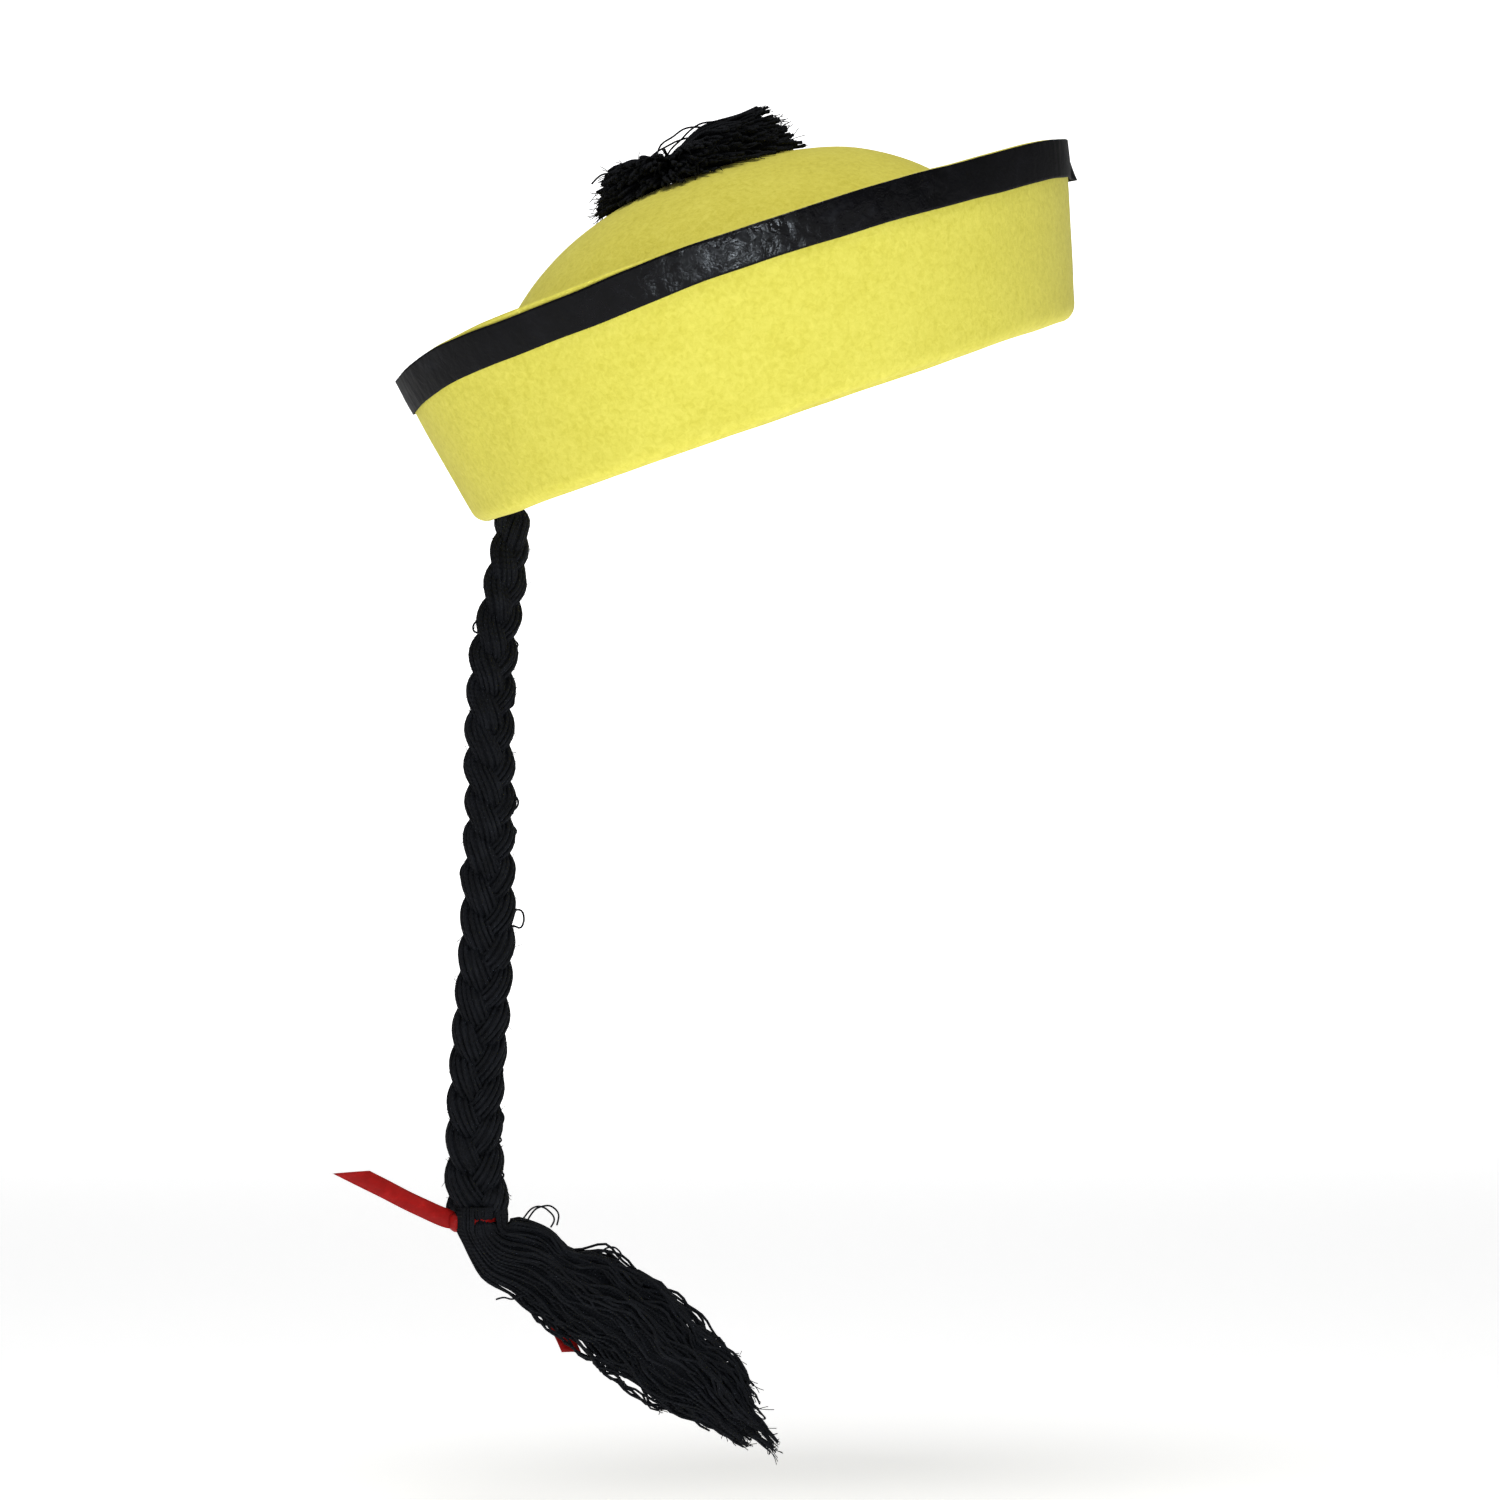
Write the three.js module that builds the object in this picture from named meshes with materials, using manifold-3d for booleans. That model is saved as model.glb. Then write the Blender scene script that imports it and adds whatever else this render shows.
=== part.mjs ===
// A felt costume hat: a domed crown and a turned-up brim edged with black tape, a yarn tuft on top, and
// a plaited yarn pigtail that is sewn inside the back, tied with a ribbon and ends in a loose tassel.
// Millimetres, +Z up, +X to the front of the hat, +Y to its left. The origin is the middle of the
// opening that the head goes in, and the hat is tipped back as it is worn.

import * as THREE from "three";
import { mergeVertices } from "three/addons/utils/BufferGeometryUtils.js";
import Module from "manifold-3d";

// Felt
const HEAD_HALF_LENGTH = 100;
const HEAD_HALF_WIDTH = 86;
const FELT = 2.5;
const CROWN_HEIGHT = 89.2;
const CROWN_FULLNESS = 2.27;
const CROWN_LEAN = 1.7;
const FOLD_RADIUS = 6;
const RIM_HEIGHT = 59.3;
const RIM_SADDLE = 1.2;
const RIM_ROUNDING = 0.7;
const FLARE = { front: 14.2, side: 12, back: 7.8 };
const WORN_TILT = 19.3;

// Tape round the outside of the rim. Its upper edge wanders below the felt's edge
const TAPE_WIDTH = 12.6;
const TAPE_THICKNESS = 0.8;
const TAPE_DROP = { least: 0.1, most: 2.2, turn: -140, spread: 50 };
const GAP = 0.3;

// Tuft
const TUFT_CENTRE = 2;
const TUFT_SEAT = 0.5;
const TUFT_KNOT = { radius: 11, height: 11.5 };
const TUFT_LAYERS = [
  { locks: 12, reach: 34.5, root: 4.4, middle: 4.8, tip: 4.9, radius: 4.7, front: 0.06, offset: 0 },
  { locks: 9, reach: 31, root: 7.5, middle: 10, tip: 11.2, radius: 4.3, front: 0.2, offset: 13 },
];

// Plait: three strands that pass over each other, sewn flat inside the back of the hat at its start
const BRAID_ROUTE = [
  [-94.9, -18.9], [-92.5, -29.0], [-92.3, -35.9], [-92.9, -42.0], [-94.2, -49.0], [-96.3, -63.0],
  [-99.2, -80.5], [-100.5, -98.0], [-100.8, -119.0], [-100.4, -133.0], [-101.1, -150.5],
  [-101.2, -168.0], [-101.9, -185.5], [-103.2, -203.0], [-104.5, -220.5], [-105.7, -238.0],
  [-106.1, -255.5], [-105.4, -269.5], [-104.7, -275.8],
];
const BRAID_HEAD = [
  { along: 0, thick: 2.3, wide: 6.6 },
  { along: 11, thick: 2.6, wide: 6.6 },
  { along: 17.5, thick: 5, wide: 6.6 },
  { along: 21, thick: 6, wide: 6.6 },
  { along: 25, thick: 6.3, wide: 6.6 },
  { along: 50, thick: 6.6, wide: 6.6 },
];
const PLAIT = { across: 6, through: 3, strand: 3.9, core: 5, pitch: 38.4, starts: 40, full: 54 };
const PLAIT_SWELL = [
  { along: 40, scale: 0.8, turn: 45 },
  { along: 62, scale: 0.93, turn: 45 },
  { along: 120, scale: 0.96, turn: 40 },
  { along: 165, scale: 1, turn: 5 },
  { along: 236, scale: 1, turn: 0 },
  { along: 250, scale: 1.16, turn: 0 },
  { along: 258, scale: 0.87, turn: 0 },
];
const BRAID_STEPS = 72;

// Tassel: its locks leave a neck below the tie and swing forwards
const TASSEL_ROWS = [
  { x: -104.0, z: -282.9, half: 6.2, deep: 6.2 },
  { x: -102.5, z: -287.6, half: 7, deep: 8 },
  { x: -97.8, z: -290.9, half: 10.2, deep: 11 },
  { x: -85.7, z: -294.5, half: 13.9, deep: 14 },
  { x: -65.8, z: -306.5, half: 17.9, deep: 15.5 },
  { x: -47.4, z: -318.9, half: 19.2, deep: 16 },
  { x: -34.3, z: -331.2, half: 17.5, deep: 15 },
  { x: -24.6, z: -339.9, half: 14.2, deep: 13 },
  { x: -13.6, z: -350.1, half: 10, deep: 10.5 },
  { x: -3.1, z: -359.4, half: 6.5, deep: 7.5 },
];
const TASSEL_RINGS = [
  { locks: 9, share: 1, radius: 0.42, offset: 0 },
  { locks: 4, share: 0.42, radius: 0.4, offset: 40 },
];
const NECK_RADIUS = 6.2;

// Ribbon: a turn round the neck, a knot at the back and two tails
const RIBBON = { width: 6.8, thickness: 0.8 };
const WRAP = { x: -104.35, z: -279.35, tip: 8, inner: 6.9, width: 5.6 };
const KNOT = { x: -113.9, z: -280.3, radius: 3 };
const TAIL_UP = {
  route: [[-112.6, 0, -280.6], [-118, -1.2, -278.9], [-125.5, -2, -275.1], [-137, -2.5, -269.4],
    [-149.7, -3, -263.2]],
  facing: [0.42, 0.25, 0.87],
  slant: -5.6,
};
const TAIL_DOWN = {
  route: [[-113.4, 2.6, -281.9], [-110.8, 6.9, -286.2], [-101.8, 12.6, -293.5], [-90.2, 15, -302.5],
    [-79.7, 13, -313], [-74, 10, -320], [-71.3, 7.6, -326.4]],
  facing: [-0.75, -0.45, -0.48],
  slant: -1.1,
};

const FELT_SIDES = 60;
const CROWN_STEPS = 8;
const FOLD_STEPS = 6;
const CUFF_STEPS = 3;
const YARN_SIDES = 14;
const LOCK_SIDES = 7;

const wasm = await Module();
wasm.setup();

const radians = THREE.MathUtils.degToRad;
const { lerp, smoothstep } = THREE.MathUtils;
const v3 = (x, y, z) => new THREE.Vector3(x, y, z);
const SIDEWAYS = v3(0, 1, 0);

// A closed surface through rings of points. A ring goes counter-clockwise seen from the far end. The
// ends are closed with fans, unless the last ring runs on into the first.
function loft(rings, { loop = false, first, last } = {}) {
  const count = rings[0].length;
  const points = rings.flat();
  const index = [];
  rings.forEach((ring, i) => {
    if (i === rings.length - 1 && !loop) return;
    const here = i * count;
    const there = ((i + 1) % rings.length) * count;
    for (let j = 0; j < count; j++) {
      const k = (j + 1) % count;
      index.push(here + j, here + k, there + k, here + j, there + k, there + j);
    }
  });
  if (!loop) {
    const middle = (ring) => ring.reduce((sum, p) => sum.add(p), v3(0, 0, 0)).divideScalar(count);
    const end = (rings.length - 1) * count;
    points.push(first ?? middle(rings[0]), last ?? middle(rings.at(-1)));
    for (let j = 0; j < count; j++) {
      const k = (j + 1) % count;
      index.push(points.length - 2, k, j, points.length - 1, end + j, end + k);
    }
  }
  const geometry = new THREE.BufferGeometry();
  const numbers = points.flatMap((p) => [p.x, p.y, p.z]);
  geometry.setAttribute("position", new THREE.Float32BufferAttribute(numbers, 3));
  geometry.setIndex(index);
  return geometry;
}

// A value from a table of rows, read between the two rows either side of a place in one column
function between(rows, column, place, wanted) {
  const after = Math.max(1, rows.findIndex((row) => row[column] >= place));
  const [a, b] = place > rows.at(-1)[column] ? rows.slice(-2) : [rows[after - 1], rows[after]];
  return lerp(a[wanted], b[wanted], smoothstep(place, a[column], b[column]));
}

function solid(geometry) {
  const welded = mergeVertices(geometry.clone(), 1e-4);
  return new wasm.Manifold(
    new wasm.Mesh({
      numProp: 3,
      vertProperties: new Float32Array(welded.attributes.position.array),
      triVerts: new Uint32Array(welded.index.array),
    }),
  );
}

// Several closed surfaces that run into each other, joined into one
function fused(geometries) {
  const joined = geometries.map(solid).reduce((whole, part) => whole.add(part));
  const mesh = joined.getMesh();
  const geometry = new THREE.BufferGeometry();
  geometry.setAttribute("position", new THREE.BufferAttribute(mesh.vertProperties, 3));
  geometry.setIndex(new THREE.BufferAttribute(mesh.triVerts, 1));
  return geometry;
}

// The crown is a superellipse in height and an ellipse in plan
const crownTop = (share, height) => height * (1 - share ** CROWN_FULLNESS) ** (1 / CROWN_FULLNESS);

function flareAt(angle) {
  const forwards = Math.cos(angle);
  return radians(lerp(FLARE.side, forwards > 0 ? FLARE.front : FLARE.back, forwards ** 2));
}

const rimHeightAt = (angle) => RIM_HEIGHT + RIM_SADDLE * Math.sin(angle) ** 2;

// A point of the turned-up brim's outer face: a distance up from the fold and a distance out from it
function cuffPoint(angle, up, out) {
  const flare = flareAt(angle);
  const foldEnd = { out: FOLD_RADIUS * (1 + Math.cos(flare)), height: FOLD_RADIUS * (1 - Math.sin(flare)) };
  return {
    share: 1,
    out: foldEnd.out + up * Math.sin(flare) + out * Math.cos(flare),
    height: foldEnd.height + up * Math.cos(flare) - out * Math.sin(flare),
  };
}

function cuffLength(angle) {
  const flare = flareAt(angle);
  return (rimHeightAt(angle) - FOLD_RADIUS * (1 - Math.sin(flare))) / Math.cos(flare);
}

// One side of the dome from the axis to the top of the fold
function domeRows(out, height) {
  const lowest = Math.acos((FOLD_RADIUS / height) ** (CROWN_FULLNESS / 2));
  return Array.from({ length: CROWN_STEPS }, (_, i) => {
    const turn = (lowest * (i + 1)) / CROWN_STEPS;
    const share = Math.sin(turn) ** (2 / CROWN_FULLNESS);
    return { share, out: out * share, height: crownTop(share, height) };
  });
}

// The arc at the fold, from the crown's side to the brim's side
function foldRows(angle, radius) {
  const sweep = Math.PI - flareAt(angle);
  return Array.from({ length: FOLD_STEPS }, (_, i) => {
    const turn = Math.PI + (sweep * (i + 1)) / FOLD_STEPS;
    return {
      share: 1,
      out: FOLD_RADIUS + radius * Math.cos(turn),
      height: FOLD_RADIUS + radius * Math.sin(turn),
    };
  });
}

// The felt's section at one angle: down inside the crown, round the fold, up the brim, over the rim,
// back down into the valley and up over the crown
function feltRows(angle) {
  const length = cuffLength(angle);
  const ups = Array.from({ length: CUFF_STEPS }, (_, i) => ((length - RIM_ROUNDING) * (i + 1)) / CUFF_STEPS);
  return [
    ...domeRows(0, CROWN_HEIGHT - FELT),
    ...foldRows(angle, FOLD_RADIUS),
    ...ups.map((up) => cuffPoint(angle, up, 0)),
    cuffPoint(angle, length, -RIM_ROUNDING),
    cuffPoint(angle, length, RIM_ROUNDING - FELT),
    ...ups.toReversed().map((up) => cuffPoint(angle, up, -FELT)),
    ...foldRows(angle, FOLD_RADIUS - FELT).toReversed(),
    ...domeRows(FELT, CROWN_HEIGHT).toReversed(),
  ];
}

function place({ share, out, height }, angle) {
  return v3(
    (HEAD_HALF_LENGTH * share + out) * Math.cos(angle) + (CROWN_LEAN * height) / CROWN_HEIGHT,
    (HEAD_HALF_WIDTH * share + out) * Math.sin(angle),
    height,
  );
}

const feltAngles = Array.from({ length: FELT_SIDES }, (_, i) => (2 * Math.PI * i) / FELT_SIDES);

function feltBody() {
  const columns = feltAngles.map((angle) => feltRows(angle).map((row) => place(row, angle)));
  const rings = columns[0].map((_, i) => columns.map((column) => column[i]));
  return loft(rings, { first: v3(CROWN_LEAN, 0, CROWN_HEIGHT - FELT), last: v3(CROWN_LEAN, 0, CROWN_HEIGHT) });
}

function tapeDrop(angle) {
  const away = Math.abs(((THREE.MathUtils.radToDeg(angle) - TAPE_DROP.turn + 540) % 360) - 180);
  return lerp(TAPE_DROP.most, TAPE_DROP.least, smoothstep(away, 0, TAPE_DROP.spread * 2));
}

function brimTape() {
  const sections = feltAngles.map((angle) => {
    const top = cuffLength(angle) - tapeDrop(angle);
    const corners = [
      [top, GAP + TAPE_THICKNESS],
      [top - TAPE_WIDTH, GAP + TAPE_THICKNESS],
      [top - TAPE_WIDTH, GAP],
      [top, GAP],
    ];
    return corners.map(([up, out]) => place(cuffPoint(angle, up, out), angle));
  });
  return loft(sections, { loop: true });
}

// A ring of points round a centre: the first direction crossed with the second points on along the path
function ringRound(centre, first, second, count, reach) {
  return Array.from({ length: count }, (_, i) => {
    const turn = (2 * Math.PI * i) / count;
    const [a, b] = [Math.cos(turn), Math.sin(turn)];
    const distance = reach(a, b);
    return centre.clone().addScaledVector(first, a * distance).addScaledVector(second, b * distance);
  });
}

// One lock of the tuft over a flat crown, from the knot outwards
function tuftLock(layer, number) {
  const angle = radians(layer.offset) + (2 * Math.PI * number) / layer.locks;
  const outwards = v3(Math.cos(angle), Math.sin(angle), 0);
  const lift = 1 + layer.front * Math.cos(angle);
  const stations = [
    { share: 0.05, height: layer.root, radius: 0.75 },
    { share: 0.4, height: layer.middle, radius: 1 },
    { share: 0.78, height: layer.tip, radius: 1.05 },
    { share: 1, height: layer.tip * 1.02, radius: 0.72 },
  ];
  return loft(
    stations.map(({ share, height, radius }) => {
      const centre = outwards.clone().multiplyScalar(layer.reach * share).setZ(height * lift);
      const across = v3(-outwards.y, outwards.x, 0);
      const ring = ringRound(centre, across, v3(0, 0, 1), LOCK_SIDES, () => layer.radius * radius);
      return ring.map((p) => p.setZ(Math.max(p.z, TUFT_SEAT)));
    }),
  );
}

function tuftKnot() {
  const levels = [0, 0.35, 0.7, 0.92];
  const rings = levels.map((share) => {
    const radius = TUFT_KNOT.radius * Math.sqrt(1 - share ** 2);
    const centre = v3(0, 0, Math.max(TUFT_KNOT.height * share, TUFT_SEAT));
    return ringRound(centre, v3(1, 0, 0), v3(0, 1, 0), LOCK_SIDES * 2, () => radius);
  });
  return loft(rings, { last: v3(0, 0, TUFT_KNOT.height) });
}

function crownTuft() {
  const locks = TUFT_LAYERS.flatMap((layer) =>
    Array.from({ length: layer.locks }, (_, number) => tuftLock(layer, number)),
  );
  const geometry = fused([tuftKnot(), ...locks]);
  const points = geometry.attributes.position;
  for (let i = 0; i < points.count; i++) {
    const x = points.getX(i) + TUFT_CENTRE - CROWN_LEAN;
    const y = points.getY(i);
    const share = Math.hypot(x / (HEAD_HALF_LENGTH + FELT), y / (HEAD_HALF_WIDTH + FELT));
    points.setXYZ(i, x + CROWN_LEAN, y, points.getZ(i) + crownTop(share, CROWN_HEIGHT));
  }
  return geometry;
}

// How far the three strands reach from the plait's middle line in one direction
function plaitReach(along, across, through) {
  const reaches = [0, 1, 2].map((strand) => {
    const phase = 2 * Math.PI * (along / PLAIT.pitch + strand / 3);
    const [x, y] = [PLAIT.across * Math.sin(phase), PLAIT.through * Math.sin(2 * phase)];
    const ahead = x * across + y * through;
    const inside = PLAIT.strand ** 2 - (x ** 2 + y ** 2 - ahead ** 2);
    return inside > 0 ? ahead + Math.sqrt(inside) : 0;
  });
  return Math.max(PLAIT.core, ...reaches);
}

function braid() {
  const route = new THREE.CatmullRomCurve3(BRAID_ROUTE.map(([x, z]) => v3(x, 0, z)), false, "centripetal");
  const length = route.getLength();
  const rings = Array.from({ length: BRAID_STEPS + 1 }, (_, i) => {
    const along = (length * i) / BRAID_STEPS;
    const forwards = route.getTangentAt(i / BRAID_STEPS).cross(SIDEWAYS);
    const thick = between(BRAID_HEAD, "along", along, "thick");
    const wide = between(BRAID_HEAD, "along", along, "wide");
    const scale = between(PLAIT_SWELL, "along", along, "scale");
    const turn = radians(between(PLAIT_SWELL, "along", along, "turn"));
    const plaited = smoothstep(along, PLAIT.starts, PLAIT.full);
    return ringRound(route.getPointAt(i / BRAID_STEPS), SIDEWAYS, forwards, YARN_SIDES, (a, b) => {
      const plain = 1 / Math.hypot(a / wide, b / thick);
      const across = a * Math.sin(turn) + b * Math.cos(turn);
      const through = a * Math.cos(turn) - b * Math.sin(turn);
      return lerp(plain, scale * plaitReach(along, across, through), plaited);
    });
  });
  return loft(rings);
}

// One lock of the tassel, at a share of the tassel's half widths, in a direction round its middle line
function tasselLock(ring, number) {
  const angle = radians(ring.offset) + (2 * Math.PI * number) / ring.locks;
  const rows = number % 2 ? TASSEL_ROWS.slice(0, -1) : TASSEL_ROWS;
  const line = new THREE.CatmullRomCurve3(TASSEL_ROWS.map(({ x, z }) => v3(x, 0, z)), false, "centripetal");
  return loft(
    rows.map(({ x, z, half, deep }, i) => {
      const forwards = line.getTangent(i / (TASSEL_ROWS.length - 1)).cross(SIDEWAYS);
      const thin = i === rows.length - 1 ? 0.7 : 1;
      const radius = ring.radius * Math.min(half, deep) * thin;
      const centre = v3(x, 0, z)
        .addScaledVector(forwards, ring.share * (half - radius) * Math.cos(angle))
        .addScaledVector(SIDEWAYS, ring.share * (deep - radius) * Math.sin(angle));
      return ringRound(centre, SIDEWAYS, forwards, LOCK_SIDES, () => radius);
    }),
  );
}

// The neck goes up through the ribbon to the end of the plait
function tasselNeck() {
  const end = new THREE.Vector2(...BRAID_ROUTE.at(-1));
  const downwards = end.clone().sub(new THREE.Vector2(...BRAID_ROUTE.at(-2))).normalize();
  const start = end.clone().addScaledVector(downwards, GAP);
  const [top, under] = TASSEL_ROWS;
  const rows = [{ x: start.x, z: start.y }, { x: WRAP.x, z: WRAP.z }, top, under];
  return loft(
    rows.map(({ x, z }, i) => {
      const next = rows[Math.min(i + 1, rows.length - 1)];
      const from = i === rows.length - 1 ? rows[i - 1] : { x, z };
      const heading = i === 0 ? v3(downwards.x, 0, downwards.y) : v3(next.x - from.x, 0, next.z - from.z);
      const forwards = heading.normalize().cross(SIDEWAYS);
      return ringRound(v3(x, 0, z), SIDEWAYS, forwards, YARN_SIDES, () => NECK_RADIUS);
    }),
  );
}

function braidTassel() {
  const locks = TASSEL_RINGS.flatMap((ring) =>
    Array.from({ length: ring.locks }, (_, number) => tasselLock(ring, number)),
  );
  return fused([tasselNeck(), ...locks]);
}

// A flat strip along a route, with its end cut on a slant
function ribbonTail({ route, facing, slant }) {
  const line = new THREE.CatmullRomCurve3(route.map((p) => v3(...p)), false, "centripetal");
  const steps = 8;
  return loft(
    Array.from({ length: steps + 1 }, (_, i) => {
      const along = line.getTangentAt(i / steps);
      const across = v3(...facing);
      across.addScaledVector(along, -across.dot(along)).normalize();
      const face = along.clone().cross(across);
      const cut = i === steps ? slant : 0;
      return [[1, 1], [-1, 1], [-1, -1], [1, -1]].map(([side, up]) =>
        line.getPointAt(i / steps)
          .addScaledVector(across, (side * RIBBON.width) / 2)
          .addScaledVector(face, (up * RIBBON.thickness) / 2)
          .addScaledVector(along, cut * side),
      );
    }),
  );
}

function ribbonWrap() {
  const tip = radians(WRAP.tip);
  const downwards = v3(Math.sin(tip), 0, -Math.cos(tip));
  const forwards = downwards.clone().cross(SIDEWAYS);
  const corners = [[0, -1], [0, 1], [1, 1], [1, -1]];
  const sections = Array.from({ length: YARN_SIDES * 2 }, (_, i) => {
    const turn = (Math.PI * i) / YARN_SIDES;
    const outwards = SIDEWAYS.clone().multiplyScalar(Math.cos(turn)).addScaledVector(forwards, Math.sin(turn));
    return corners.map(([out, down]) =>
      v3(WRAP.x, 0, WRAP.z)
        .addScaledVector(outwards, WRAP.inner + out * RIBBON.thickness)
        .addScaledVector(downwards, (down * WRAP.width) / 2),
    );
  });
  return loft(sections, { loop: true });
}

function tieRibbon() {
  const knot = new THREE.SphereGeometry(KNOT.radius, 10, 6).translate(KNOT.x, 0, KNOT.z);
  knot.deleteAttribute("normal");
  knot.deleteAttribute("uv");
  return fused([ribbonWrap(), knot, ribbonTail(TAIL_UP), ribbonTail(TAIL_DOWN)]);
}

const yellowFelt = new THREE.MeshStandardMaterial({ color: 0xded25a, roughness: 0.95, metalness: 0 });
const blackSatin = new THREE.MeshStandardMaterial({ color: 0x14141a, roughness: 0.35, metalness: 0 });
const blackYarn = new THREE.MeshStandardMaterial({ color: 0x17181c, roughness: 0.85, metalness: 0 });
const redRibbon = new THREE.MeshStandardMaterial({ color: 0xaa1612, roughness: 0.4, metalness: 0 });

function mesh(name, geometry, material) {
  const made = new THREE.Mesh(geometry, material);
  made.name = name;
  return made;
}

const hat = new THREE.Group();
hat.rotation.y = radians(-WORN_TILT);
hat.add(mesh("felt_body", feltBody(), yellowFelt));
hat.add(mesh("brim_tape", brimTape(), blackSatin));
hat.add(mesh("crown_tuft", crownTuft(), blackYarn));

const pigtail = new THREE.Group();
pigtail.add(mesh("braid", braid(), blackYarn));
pigtail.add(mesh("braid_tassel", braidTassel(), blackYarn));
pigtail.add(mesh("tie_ribbon", tieRibbon(), redRibbon));

const costumeHat = new THREE.Group();
costumeHat.add(hat, pigtail);

export default costumeHat;
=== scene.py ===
# A felt costume hat with a taped, turned-up brim, a yarn tuft, and a plaited yarn pigtail with a red tie.
# Metres, +Z up, +X to the front of the hat, +Y to its left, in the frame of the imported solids.

import math

import bpy
import numpy as np
from mathutils import Matrix, Vector, noise


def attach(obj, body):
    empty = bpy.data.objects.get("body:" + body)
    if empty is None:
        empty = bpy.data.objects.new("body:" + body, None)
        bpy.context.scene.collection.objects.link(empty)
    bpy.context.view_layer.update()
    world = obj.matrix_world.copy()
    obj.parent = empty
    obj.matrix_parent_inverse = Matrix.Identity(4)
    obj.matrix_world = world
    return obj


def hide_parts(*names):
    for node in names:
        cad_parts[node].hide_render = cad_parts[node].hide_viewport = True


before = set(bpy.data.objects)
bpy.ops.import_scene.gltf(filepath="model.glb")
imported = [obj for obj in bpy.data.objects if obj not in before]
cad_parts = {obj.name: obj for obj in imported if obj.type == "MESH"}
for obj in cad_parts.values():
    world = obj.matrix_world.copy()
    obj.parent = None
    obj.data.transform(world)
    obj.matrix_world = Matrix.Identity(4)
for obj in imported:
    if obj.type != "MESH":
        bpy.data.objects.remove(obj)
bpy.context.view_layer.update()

# Felt. The oval of the head, the fold, the thickness and the tilt are the solid's. The crown, the rim's
# line and the flare at the back were fitted again to the photograph, up to 4 mm away from the solid's.
HEAD_HALF_LENGTH = 0.100
HEAD_HALF_WIDTH = 0.086
FELT = 0.0025
CROWN_HEIGHT = 0.0905
CROWN_FULLNESS = 2.27
CROWN_LEAN = 0.0035
FOLD_RADIUS = 0.006
RIM_HEIGHT = 0.0593
RIM_SADDLE = 0.0045
RIM_SADDLE_BACK = 0.3
RIM_LIFT = {"turn": -144.0, "spread": 26.0, "height": 0.0019}
RIM_DIP = {"turn": 180.0, "spread": 26.0, "height": -0.0026}
FLARE = {"front": 14.2, "side": 12.0, "back": 12.1}
WORN_TILT = 19.3
FELT_EDGE = 0.0009
FELT_EDGE_TURNS = (30, 60, 88)
FELT_STEPS = {"round": 300, "dome": 42, "fold": 12, "cuff": 22}
# Slow unevenness: (size of a wave, how far it moves the felt, seed)
FELT_WANDER = [(0.055, 0.0011, 1), (0.018, 0.00028, 2)]

# Tape round the rim: thinner than the solid, wider by 0.8 mm, puckered, and sewn a little low in one place
TAPE_WIDTH = 0.0134
TAPE_GAP = 0.0003
TAPE_THICKNESS = 0.0005
TAPE_DROP = {"least": 0.0001, "most": 0.0017, "begins": (-154.0, -134.0), "ends": (-122.0, -100.0)}
TAPE_STEPS = {"round": 900, "across": 16}
TAPE_BOW = 0.00022
TAPE_END = {"spread": 2.6, "lift": 0.0036, "curve": 1.6}
TAPE_PUFF = 0.0001
# Puckers and ripples: (waves along it, waves across it, seed, height)
TAPE_WAVES = [(36, 1.6, 3.0, 0.00018), (95, 5.0, 8.0, 0.00006)]

# Turns from one thread to the next in a round bundle, so that they spread evenly
GOLDEN_TURN = 2.39996
# Half the thickness of the loose yarns that stand off each bundle in the photograph
STRAY_YARN = {"tuft": 0.00036, "braid": 0.00038, "tassel": 0.00034}

# Tuft: its yarns pass under the knot, the upper ones rising more and reaching less far
TUFT_CENTRE = 0.002
TUFT_SEAT = 0.0005
TUFT_YARNS = 330
YARN = 0.00064
TUFT_KNOT = -0.009
TUFT_REACH = {"low": 0.0372, "level": 0.0030, "front": 0.0052, "back": 0.0036}
TUFT_NARROW = (1.0, 0.80)
TUFT_TIP = {"low": 0.0012, "level": 0.0120, "front": 0.0040}
TUFT_ROOT = {"low": 0.0010, "level": 0.0080}
TUFT_WAVE = {"up": 0.0006, "sideways": 0.0008, "drift": 0.0012}
TUFT_STRAYS = [
    [[-0.0150, -0.0080, 0.0095], [-0.0045, -0.0100, 0.0190], [0.0060, -0.0080, 0.0150]],
    [[-0.0090, -0.0110, 0.0100], [0.0025, -0.0120, 0.0190], [0.0150, -0.0090, 0.0150]],
    [[-0.0190, 0.0040, 0.0090], [-0.0095, 0.0050, 0.0150], [0.0010, 0.0020, 0.0130]],
    [[-0.0270, -0.0060, 0.0115], [-0.0340, -0.0070, 0.0140], [-0.0375, -0.0080, 0.0130]],
]

# The plait's route and the flattening of its sewn head, as in the solid
BRAID_ROUTE = [
    [-0.0949, -0.0189], [-0.0925, -0.0290], [-0.0923, -0.0359], [-0.0929, -0.0420], [-0.0942, -0.0490],
    [-0.0963, -0.0630], [-0.0992, -0.0805], [-0.1005, -0.0980], [-0.1008, -0.1190], [-0.1004, -0.1330],
    [-0.1011, -0.1505], [-0.1012, -0.1680], [-0.1019, -0.1855], [-0.1032, -0.2030], [-0.1045, -0.2205],
    [-0.1057, -0.2380], [-0.1061, -0.2555], [-0.1054, -0.2695], [-0.1047, -0.2758],
]
BRAID_HEAD = [
    {"along": 0.000, "thick": 0.0023},
    {"along": 0.011, "thick": 0.0026},
    {"along": 0.0175, "thick": 0.0050},
    {"along": 0.021, "thick": 0.0060},
    {"along": 0.025, "thick": 0.0063},
    {"along": 0.050, "thick": 0.0066},
]
BRAID_HEAD_RADIUS = 0.0066
BRAID_HEAD_ENDS = (0.0138, 0.0175)
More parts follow.
